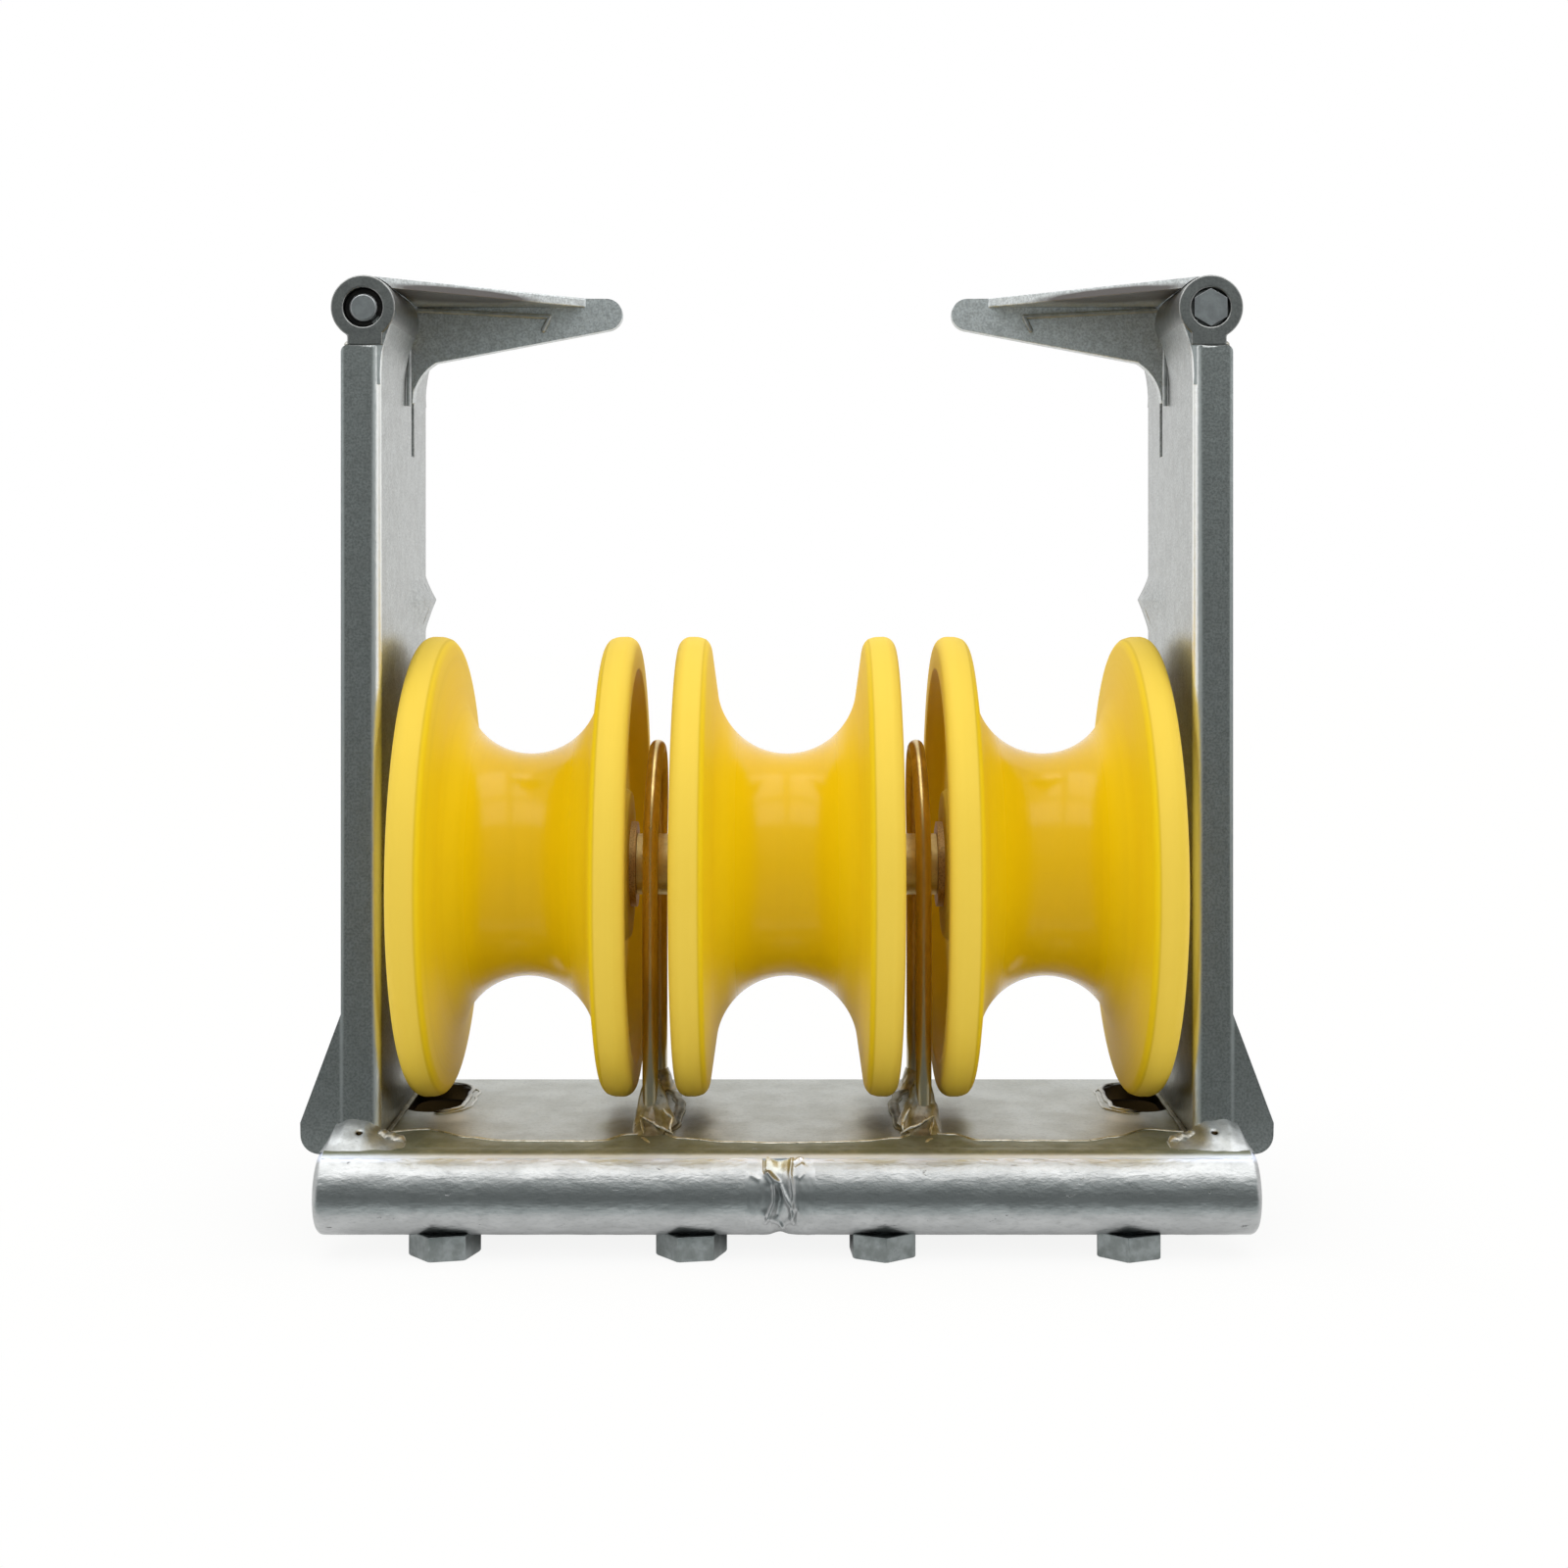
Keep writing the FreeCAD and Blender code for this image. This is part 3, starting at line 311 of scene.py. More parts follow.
@dataclass(frozen=True)
class StainOrPaintedLight:
    """A soft spot of another tone, used for real tints and for painted shade, shadow, highlight
    and reflection.
    """

    centre: Point
    reach: Point
    tone: Colour
    weight: float


def mirrored(*stains_and_painted_light: StainOrPaintedLight) -> tuple[StainOrPaintedLight, ...]:
    """The tints and painted light of a right side with their mirror images, which come first."""
    return tuple(replace(stain_or_light, centre=(sign * stain_or_light.centre[0], *stain_or_light.centre[1:]))
                 for sign in (-1.0, 1.0) for stain_or_light in stains_and_painted_light)


@dataclass(frozen=True)
class Steel:
    """Steel with a cloudy tone, grain, speckle, small scars, and soft spots of real tint and
    painted light.
    """

    name: str
    tone: Colour
    cloud: Colour
    cloud_size: float = 14.0
    gloss: Pair = (0.28, 0.42)
    grain_size: float = 0.9
    grain_depth: float = 0.02
    stretch: Point = (1.0, 1.0, 1.0)
    metallic: float = 1.0
    scars: float = 0.25
    speckle: float = 0.0
    stains_and_painted_light: tuple[StainOrPaintedLight, ...] = ()

    def material(self) -> Material:
        """Build the finish.

        Returns:
            The material.
        """
        shader = Shader(self.name)
        clouds = shader.noise(self.cloud_size, 3.0, self.stretch)
        grain = shader.noise(self.grain_size, 4.0, self.stretch, 0.6)
        mottle = shader.noise(self.grain_size * 2.6, 3.0, self.stretch, 0.6)
        scar = shader.noise(2.4, 4.0, (2.4, 1.0, 1.0), 0.7).step(0.64, 0.70) \
            * shader.noise(11.0, 2.0).step(0.52, 0.60) * self.scars
        soiled = grain.step(0.45, 0.75) * 0.30 + mottle.step(0.50, 0.70) * 0.22
        specks = shader.noise(0.75, 2.0).step(0.42, 0.62) * self.speckle
        colour = shader.layered(
            shader.mix(clouds.step(0.35, 0.65), self.tone, self.cloud),
            (soiled, darker(self.tone, 0.55)), (specks, darker(self.tone, 0.40)),
            (scar, darker(self.tone, 0.30)))
        # Soft ragged spots of real tint and of painted shade, shadow, highlight and reflection.
        for stain_or_light in self.stains_and_painted_light:
            ragged = shader.noise(3.5, 3.0) * 0.5 + 0.6
            colour = shader.mix(shader.near(stain_or_light.centre, stain_or_light.reach) * ragged * stain_or_light.weight,
                                colour, stain_or_light.tone)
        low, high = self.gloss
        rough = clouds * (high - low) * 0.7 + grain * (high - low) * 0.6 + low
        normal = shader.bumps((grain, self.grain_depth), (mottle, self.grain_depth * 2.2),
                              (1.0 - scar, 0.08))
        return shader.surface(Base_Color=colour, Roughness=rough, Metallic=self.metallic,
                              Normal=normal)


@dataclass(frozen=True)
class WeldMetal:
    """Molten steel, bright on its crests and olive brown in its furrows, with dark pits."""

    name: str = "weld_bead_steel"
    crest: Colour = (0.52, 0.51, 0.47)
    furrow: Colour = (0.33, 0.32, 0.275)
    gloss: float = 0.40
    relief: float = 0.10
    pit: Colour = (0.05, 0.045, 0.035)
    pitted: float = 0.5

    def material(self) -> Material:
        """Build the finish.

        Returns:
            The material.
        """
        shader = Shader(self.name)
        lumps = shader.noise(3.4, 3.0, roughness=0.55)
        fine = shader.noise(0.9, 2.0)
        pits = shader.noise(1.6, 1.0).step(0.70, 0.76) * self.pitted
        colour = shader.mix(lumps.step(0.62, 0.38), self.crest, self.furrow)
        return shader.surface(Base_Color=shader.mix(pits, colour, self.pit), Metallic=1.0,
                              Roughness=fine * 0.15 + self.gloss,
                              Normal=shader.bumps((lumps, self.relief), (fine, 0.03)))


@dataclass(frozen=True)
class RollerPlastic:
    """Yellow plastic, full yellow in the groove, with faint turning lines; painted sheen on the
    rims, painted light on the groove walls and dished sides, painted shade at each crease and the
    groove's bottom.
    """

    name: str = "roller_plastic"
    groove: Colour = (0.82, 0.535, 0.002)
    # The rims' paler tone is a painted sheen of the white surroundings.
    rim: Colour = (0.86, 0.61, 0.065)
    # The groove walls are lighter than its bottom: painted light.
    wall: Colour = (0.87, 0.61, 0.003)
    # The dished sides are lighter to make up for their shade: painted light.
    side: Colour = (0.89, 0.66, 0.075)
    cloud: Colour = (0.80, 0.49, 0.008)
    scuff: Colour = (0.40, 0.26, 0.02)
    crease: float = 26.7
    rim_inner: float = 62.0

    def material(self) -> Material:
        """Build the finish, by the place across a roller and the radius from its axle.

        Returns:
            The material.
        """
        shader = Shader(self.name)
        along, depth, up = shader.axes()
        rise = up - AXLE_HEIGHT * MM
        radius = (depth * depth + rise * rise).root() / MM
        across = shader.maths("PINGPONG", along / MM, ROLLER_PITCH / 2)
        lines = shader.node("ShaderNodeCombineXYZ", {0: along, 1: radius * MM, 2: 0.0})
        turned = shader.noise(1.1, 3.0, where=lines)
        broad = shader.noise(5.0, 2.0, where=lines)
        clouds = shader.noise(30.0, 3.0)
        scuffs = shader.noise(2.2, 5.0, (4.0, 1.0, 1.0), 0.7).step(0.66, 0.74)
        rim = across.step(self.crease - 0.3, self.crease + 0.3) \
            * radius.step(self.rim_inner, self.rim_inner + 3)
        dish = radius.step(self.rim_inner, self.rim_inner - 3) * across.step(27.0, 28.0)
        edge = across.step(self.crease - 0.7, self.crease - 0.1) \
            * across.step(self.crease + 0.5, self.crease)
        # Painted shade darkens the crease at each rim and the bottom of the groove.
        groove_shade = darker(self.groove, 0.72)
        colour = shader.layered(
            shader.mix(across.step(9.0, 23.0), self.groove, self.wall),
            (rim, self.rim), (dish, self.side), (edge * 0.40, groove_shade),
            (across.step(21.0, 7.0) * 0.16, groove_shade),
            (broad.step(0.45, 0.75) * 0.16, darker(self.groove, 0.82)),
            (clouds.step(0.5, 0.8) * 0.10, self.cloud), (scuffs * 0.08, self.scuff))
        wall = across.step(14.0, 21.0) * 0.36
        rough = turned * 0.08 + clouds * 0.06 + rim * 0.10 + dish * 0.25 + wall + 0.12
        return shader.surface(Base_Color=colour, Roughness=rough, Specular_IOR_Level=0.26,
                              Normal=shader.bumps((turned, 0.035), (clouds, 0.22)))


@dataclass(frozen=True)
class Bronze:
    """Oiled sintered bronze of the bushes."""

    name: str = "bush_bronze"
    bright: Colour = (0.66, 0.47, 0.20)
    dull: Colour = (0.46, 0.32, 0.13)

    def material(self) -> Material:
        """Build the finish.

        Returns:
            The material.
        """
        shader = Shader(self.name)
        pores = shader.noise(0.6, 3.0)
        colour = shader.mix(pores.step(0.4, 0.7), self.bright, self.dull)
        return shader.surface(Base_Color=colour, Roughness=pores * 0.3 + 0.25, Metallic=1.0,
                              Normal=shader.bumps((pores, 0.03)))


# Painted shadow of the wires and the rollers' flanges on the plate.
PAINTED_SHADOW: Colour = (0.085, 0.078, 0.036)
SHADE: Colour = (0.025, 0.016, 0.006)
# Painted shade with a painted reflection of the yellow rollers, on the plate and the uprights'
# feet.
ROLLER_REFLECTION_SHADE: Colour = (0.25, 0.23, 0.115)
# A painted highlight on the uprights' outer edge and bend.
EDGE_HIGHLIGHT: Colour = (0.93, 0.95, 0.94)
PALE: Colour = (0.74, 0.73, 0.67)
# A painted highlight along the bar's crown under the seam, on the bar and its butt weld.
BAR_CROWN_HIGHLIGHT = StainOrPaintedLight((0.0, -62.8, 31.4), (400.0, 5.0, 3.4), (0.76, 0.81, 0.94), 1.5)


class Look(Enum):
    """The finish of each kind of piece."""

    ROLLER = RollerPlastic()
    BUSH = Bronze()
    # Painted on the plate: shadow by the wires, shade and yellow roller reflection near the wires
    # and uprights, shade in the slots; a pale patch by each slot.
    PLATE = Steel("zinc_sheet_plate", (0.49, 0.505, 0.475), (0.43, 0.443, 0.41),
                  gloss=(0.28, 0.46), grain_size=0.8, grain_depth=0.03, stains_and_painted_light=mirrored(
        StainOrPaintedLight((38.0, -2.0, PLATE_TOP), (8.0, 34.0, 9.0), PAINTED_SHADOW, 0.95),
        StainOrPaintedLight((29.0, -22.0, PLATE_TOP), (9.0, 16.0, 8.0), PAINTED_SHADOW, 0.65),
        StainOrPaintedLight((53.0, -26.0, PLATE_TOP), (9.0, 14.0, 8.0), ROLLER_REFLECTION_SHADE, 0.8),
        StainOrPaintedLight((122.0, -30.0, PLATE_TOP), (14.0, 20.0, 8.0), ROLLER_REFLECTION_SHADE, 0.9),
        StainOrPaintedLight((110.0, -15.0, PLATE_TOP), (9.0, 9.0, 4.0), PALE, 0.8),
        StainOrPaintedLight((SLOT_X, 18.0, 25.6), (24.5, 28.0, 5.1), SHADE, 10.0),
        StainOrPaintedLight((SLOT_X, 36.0, 25.6), (16.0, 9.9, 5.1), SHADE, 10.0),
        StainOrPaintedLight((SLOT_X, 38.0, 20.0), (23.5, 7.9, 8.5), SHADE, 10.0)))
    # The uprights' outer edge and bend carry a painted highlight, and their feet painted shade
    # with a painted reflection of the yellow rollers.
    UPRIGHT = Steel("zinc_sheet_upright", (0.52, 0.54, 0.53), (0.465, 0.48, 0.47), 4.0,
                    (0.28, 0.40), grain_depth=0.05, speckle=0.42, stains_and_painted_light=mirrored(
        StainOrPaintedLight((138.2, -45.4, 175.0), (1.3, 1.4, 190.0), EDGE_HIGHLIGHT, 1.6),
        StainOrPaintedLight((127.0, -44.3, 165.0), (2.5, 2.6, 230.0), EDGE_HIGHLIGHT, 2.2),
        StainOrPaintedLight((126.0, -20.0, 40.0), (3.0, 40.0, 26.0), ROLLER_REFLECTION_SHADE, 0.6)))
    BAR = Steel("bar_zinc", (0.475, 0.485, 0.485), (0.41, 0.42, 0.42), 7.0, (0.28, 0.40), 1.0,
                0.09, (2.0, 1.0, 1.0), scars=1.0, stains_and_painted_light=(BAR_CROWN_HIGHLIGHT,))
    BUTT = Steel("butt_weld_zinc", (0.475, 0.485, 0.485), (0.41, 0.42, 0.42), 6.0, (0.28, 0.40),
                 1.0, stains_and_painted_light=(BAR_CROWN_HIGHLIGHT, StainOrPaintedLight((-3.0, -62.0, 29.5), (6.0, 9.0, 6.0),
                                               (0.66, 0.68, 0.60), 0.9)))
    BOLT = Steel("bolt_zinc", (0.27, 0.295, 0.295), (0.19, 0.21, 0.205), 4.0, (0.24, 0.36))
    # The wires are grey near their welds.
    WIRE = Steel("spring_wire_tan", (0.88, 0.67, 0.28), (0.62, 0.46, 0.18), 9.0, (0.22, 0.34),
                 stretch=(1.0, 1.0, 5.0), stains_and_painted_light=mirrored(
        StainOrPaintedLight((43.5, 0.0, 28.0), (30.0, 60.0, 70.0), (0.44, 0.44, 0.41), 1.0)))
    KNUCKLE = Steel("knuckle_zinc", (0.35, 0.355, 0.345), (0.29, 0.295, 0.29), 5.0,
                    grain_depth=0.04, speckle=0.3)
    # The gates' top flanges carry a painted shade, darker than their blades.
    GATE_LEFT = Steel("gate_zinc_left", (0.72, 0.76, 0.765), (0.61, 0.645, 0.645), 2.4,
                      grain_depth=0.06, metallic=0.82, speckle=0.4, stains_and_painted_light=mirrored(
        StainOrPaintedLight((100.0, -21.0, 296.9), (42.0, 31.0, 2.3), (0.15, 0.14, 0.135), 2.0)))
    # The right gate's finish is a copy of the left's that renders brighter: painted light.
    GATE_RIGHT = replace(GATE_LEFT, name="gate_zinc_right_lit", metallic=0.73)
    PIN = Steel("pin_steel", (0.50, 0.52, 0.525), (0.40, 0.41, 0.42), 3.0)
    CLIP = Steel("clip_black", (0.035, 0.032, 0.03), (0.02, 0.02, 0.02), 2.0, (0.35, 0.5))
    AXLE = Steel("axle_bright", (0.50, 0.50, 0.50), (0.44, 0.44, 0.43), 9.0)
    SPRING = Steel("spring_grey", (0.48, 0.50, 0.50), (0.36, 0.375, 0.375), 3.0, metallic=0.85)
    BEAD = WeldMetal()
    # Thin beads whose pale tone is a painted highlight, on the seam's back edge and the wires'
    # toes.
    CREST = WeldMetal("weld_highlight_steel", (0.86, 0.85, 0.80), (0.60, 0.58, 0.50), 0.30)
    # The seam's front edge on the bar carries a painted highlight.
    SEAM = Steel("seam_zinc", (0.325, 0.34, 0.265), (0.245, 0.26, 0.185), 9.0, (0.48, 0.62), 1.4,
                 0.035, stains_and_painted_light=(
        StainOrPaintedLight((0.0, -65.0, 29.6), (400.0, 5.0, 3.0), (0.80, 0.85, 0.93), 1.6),))
    PAD = Steel("pad_zinc", (0.56, 0.58, 0.585), (0.45, 0.465, 0.465), 5.0, (0.40, 0.52), 1.0,
                0.03, scars=0.5, stains_and_painted_light=mirrored(
        StainOrPaintedLight((*PIT_PLACE, 33.8), (1.5, 1.5, 3.5), SHADE, 2.5)))
    LIP = Steel("lip_zinc", (0.56, 0.56, 0.52), (0.44, 0.435, 0.38), 5.0, (0.28, 0.40), 1.0, 0.03,
                stains_and_painted_light=mirrored(StainOrPaintedLight((SLOT_X, 15.0, 29.5), (12.0, 29.0, 6.0), SHADE, 8.0)))
    # The spacers' gold is a painted reflection of the yellow rollers.
    SPACER = Steel("spacer_yellow_reflection", (0.98, 0.84, 0.40), (0.84, 0.70, 0.32), 9.0)
    # Low beads in the crease at the uprights' feet and under the rollers, darkened by a painted
    # shade.
    SOOTY = Steel("shaded_bead", (0.24, 0.225, 0.15), (0.15, 0.14, 0.085), 5.0, (0.42, 0.56), 1.2,
                  0.03)

    @cached_property
    def material(self) -> Material:
        """The finish's material, built when it is first asked for."""
        return self.value.material()


# ---- surfaces


def spread(*parts: Field) -> np.ndarray:
    """Points from their coordinates, which are spread to one shape first."""
    return np.stack(np.broadcast_arrays(*parts), -1)


def eased(share: np.ndarray) -> np.ndarray:
    """A smooth step: three squares of the share less two cubes, held between 0 and 1."""
    share = np.clip(share, 0, 1)
    return share ** 2 * (3 - 2 * share)


def through(knots: Knots, where: np.ndarray) -> np.ndarray:
    """Heights of a smooth line through knots, eased from each to the next.

    Args:
        knots: places and heights, by rising place.
        where: the places wanted.

    Returns:
        The height at each place.
    """
    spots, heights = np.array(knots, float).T
    slot = np.clip(np.searchsorted(spots, where, side="right") - 1, 0, len(spots) - 2)
    share = eased((where - spots[slot]) / (spots[slot + 1] - spots[slot]))
    return heights[slot] + (heights[slot + 1] - heights[slot]) * share


def taper(steps: int, share: float) -> np.ndarray:
    """A half-round rise and fall: 0 at both ends and 1 between.

    Args:
        steps: number of places.
        share: how much of the length each end takes.

    Returns:
        The size at each place.
    """
    place = np.linspace(0, 1, steps)
    edge = np.clip(np.minimum(place, 1 - place) / share, 0, 1)
    return np.sqrt(1 - (1 - edge) ** 2)


def arc(centre: Pair, radius: float, start: float, end: float, steps: int) -> np.ndarray:
    """Points along a circle's arc: centre plus radius times cosine and sine of the angle.

    Args:
        centre: middle of the circle.
        radius: its radius.
        start: first angle.
        end: last angle.
        steps: number of points.

    Returns:
        steps x 2 points.
    """
    turn = np.radians(np.linspace(start, end, steps))
    return spread(centre[0] + radius * np.cos(turn), centre[1] + radius * np.sin(turn))


def waves(places: np.ndarray, *layers: tuple[float, int, float]) -> np.ndarray:
    """Smooth unevenness, the sum of its layers.

    Each layer is its depth times the mean of eight sine waves with seeded directions and phases,
    scaled to run between about -1 and 1.

    Args:
        places: points, any shape ending in 3.
        layers: depth, seed and wavelength of each.

    Returns:
        A value for each point.
    """
    total = np.zeros(places.shape[:-1])
    for depth, seed, size in layers:
        chance = np.random.default_rng(seed)
        ways = chance.normal(size=(8, 3))
        ways /= np.linalg.norm(ways, axis=1, keepdims=True) * size \
            * chance.uniform(0.6, 1.5, (8, 1))
        phase = 2 * np.pi * places @ ways.T + chance.uniform(0, 2 * np.pi, 8)
        total += depth * (1.6 * np.sin(phase).mean(-1))
    return total


def turns(sides: int) -> np.ndarray:
    """Angles once round a circle, in radians."""
    return np.linspace(0, 2 * np.pi, sides, endpoint=False)


def revolve(section: np.ndarray, sides: int, centre: Pair) -> np.ndarray:
    """A section turned round a line along X.

    Each point keeps its X, and its radius times cosine and sine of the turn gives Y and Z.

    Args:
        section: n x 2 points, X and radius.
        sides: steps round the turn.
        centre: Y and Z of the line.

    Returns:
        n x sides x 3 points.
    """
    turn = turns(sides)
    radius = section[:, 1:]
    return spread(section[:, :1], centre[0] - radius * np.cos(turn),
                  centre[1] + radius * np.sin(turn))


def sweep(path: np.ndarray, up: Point, width: Field, height: Field, sides: int,
          chevron: float = 0.0, pitch: float = 1.0) -> np.ndarray:
    """An oval section carried along a path.

    At each point of the path the section is width times cosine across and height times sine
    upward. A chevron makes the section swell by a sine of the length along the path, led by the
    sine of the place round the section, as the ripples of a weld are.

    Args:
        path: n x 3 points.
        up: the direction that counts as upward.
        width: half width, one for all points or one for each.
        height: half height, likewise.
        sides: points round the section.
        chevron: depth of the ripples as a share of the section.
        pitch: length of a ripple.

    Returns:
        n x sides x 3 points.
    """
    along = np.gradient(path, axis=0)
    along /= np.linalg.norm(along, axis=1, keepdims=True)
    across = np.cross(along, up)
    across /= np.linalg.norm(across, axis=1, keepdims=True)
    lift = np.cross(across, along)
    turn = turns(sides)
    run = np.concatenate([[0.0], np.cumsum(np.linalg.norm(np.diff(path, axis=0), axis=1))])
    swell = 1 + chevron * np.sin(2 * np.pi * (run[:, None] / pitch - 0.5 * np.sin(turn)))
    wide = np.asarray(width)[..., None] * np.cos(turn) * swell
    tall = np.asarray(height)[..., None] * np.sin(turn) * swell
    return path[:, None] + wide[..., None] * across[:, None] + tall[..., None] * lift[:, None]


def blanket(front: np.ndarray, back: np.ndarray, crown: np.ndarray, depth: float,
            steps: int) -> np.ndarray:
    """A weld that lies from one line to another.

    Between a point of the front line and its point of the back line the surface runs straight
    plus the crown times a sine of half a turn; its underside is the same run sunk by depth.

    Args:
        front: n x 3 points of the front edge.
        back: n x 3 points of the back edge.
        crown: n x 3 bulge at each place.
        depth: how far the underside lies below.
        steps: points from edge to edge.

    Returns:
        n x 2 steps x 3 points, the upper side first.
    """
    share = np.linspace(0, 1, steps)[None, :, None]
    run = front[:, None] * (1 - share) + back[:, None] * share
    top = run + crown[:, None] * np.sin(np.pi * share)
    return np.concatenate([top, run[:, ::-1] - (0, 0, depth)], 1)


def backed(face: np.ndarray, x: float) -> np.ndarray:
    """A face closed by its own outline on the plane of this X.

    Args:
        face: rows x columns x 3 points.
        x: where the back lies.

    Returns:
        rows x 2 columns x 3 points.
    """
    back = face[:, ::-1].copy()
    back[..., 0] = x
    return np.concatenate([face, back], 1)


# ---- pieces


def link(name: str, data: bpy.types.ID) -> bpy.types.Object:
    """Put an object of this mesh, light or camera in the scene, at the origin."""
    thing = bpy.data.objects.new(name, data)
    bpy.context.scene.collection.objects.link(thing)
    return thing


@dataclass(frozen=True)
class Piece:
    """A piece of the block, which has a finish and moves with a body.

    Its slot names the record's material slot of the finish, which is not used, and it stands for
    its CAD node, if any.
    """

    name: str
    look: Look
    slot: str = "weld_metal"
    node: str = ""
    body: Body = Body.FRAME

    def solid(self, points: np.ndarray, faces: Sequence[Sequence[int]], crease: float,
              flat: float = 0.0) -> bpy.types.Object:
        """Make the piece of points and faces, with its doubles merged and its faces outward.

        Args:
            points: n x 3 points in metres.
            faces: the points of each face.
            crease: edges sharper than this angle stay sharp.
            flat: faces within this angle of each other are joined; 0 joins none.

        Returns:
            The piece's object, at the origin.
        """
        mesh = bpy.data.meshes.new(self.name)
        mesh.from_pydata(points, [], faces)
        shell = bmesh.new()
        shell.from_mesh(mesh)
        bmesh.ops.remove_doubles(shell, verts=shell.verts, dist=2e-6)
        if flat:
            bmesh.ops.dissolve_limit(shell, angle_limit=math.radians(flat), verts=shell.verts,
                                     edges=shell.edges)
        bmesh.ops.recalc_face_normals(shell, faces=shell.faces)
        shell.to_mesh(mesh)
        shell.free()
        mesh.shade_smooth()
        mesh.set_sharp_from_angle(angle=math.radians(crease))
        mesh.materials.append(self.look.material)
        thing = link(self.name, mesh)
        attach(thing, self.body.value)
        if self.node:
            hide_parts(self.node)
        log.info("%s on %s, %d faces", self.name, self.body.value, len(mesh.polygons))
        return thing

    def skin(self, grid: np.ndarray, ring: bool = False, crease: float = 50.0) -> None:
        """Make the piece of a grid of points, each row a loop round it.

        Args:
            grid: rows x around x 3 points in millimetres.
            ring: whether the rows close into a ring; otherwise a face closes each end row.
            crease: edges sharper than this angle stay sharp.
        """
        rows, around, _ = grid.shape
        index = np.arange(rows * around).reshape(rows, around)
        here, after = (index, np.roll(index, -1, 0)) if ring else (index[:-1], index[1:])
        faces = spread(here, np.roll(here, -1, 1), np.roll(after, -1, 1), after)
        faces = faces.reshape(-1, 4).tolist()
        if not ring:
            faces += [index[0, ::-1].tolist(), index[-1].tolist()]
        self.solid(grid.reshape(-1, 3) * MM, faces, crease)

    def soften(self, edge: float, clamp: bool = True) -> None:
        """Make the piece a merged copy of its CAD node with rounded edges.

        Args:
            edge: width of the rounded edges.
            clamp: whether short edges may narrow the rounding of all.
        """
        source = frame["nodes"][self.node].data
        points = np.empty(len(source.vertices) * 3, np.float32)
        source.vertices.foreach_get("co", points)
        faces = np.empty(len(source.loops), np.int32)
        source.loops.foreach_get("vertex_index", faces)
        thing = self.solid(points.reshape(-1, 3), faces.reshape(-1, 3).tolist(), 32.0, 0.6)
        bevel = thing.modifiers.new("soft_edges", "BEVEL")
        bevel.width = edge * MM
        bevel.segments = 3
        bevel.limit_method = "ANGLE"
        bevel.angle_limit = math.radians(35)
        bevel.use_clamp_overlap = clamp
        if not clamp:
            bevel.offset_type = "ABSOLUTE"
        bevel.harden_normals = True


def coat(look: Look, *nodes: str) -> None:
    """Give CAD nodes a finish as they are.

    Args:
        look: the finish.
        nodes: the CAD nodes.
    """
    for node in nodes:
        mesh = frame["nodes"][node].data
        mesh.materials.clear()
        mesh.materials.append(look.material)
        log.info("%s coated with %s", node, look.material.name)


@dataclass(frozen=True)
class Bead:
    """A rippled bead of weld.

    Its pitch is the length of a ripple, its share how much of each end tapers off, its chevron
    the depth of the ripples as a share of the bead.
    """

    width: float
    height: float
    pitch: float = 1.8
    share: float = 0.12
    chevron: float = 0.05
    sides: int = 18
    rough: Rough = ((0.12, 41, 9.0),)

    def lay(self, name: str, path: np.ndarray, look: Look) -> None:
        """Lay the bead along a path: a sweep whose half sizes rise, fall and waver.

        Args:
            name: the piece's name.
            path: n x 3 points.
            look: its finish.
        """
        size = taper(len(path), self.share)
        uneven = 1 + waves(path, *self.rough)
        grid = sweep(path, (0.0, 0.0, 1.0), self.width * size * uneven,
                     self.height * size * uneven, self.sides, self.chevron, self.pitch)
        Piece(name, look).skin(grid)


# ---- sub-assemblies


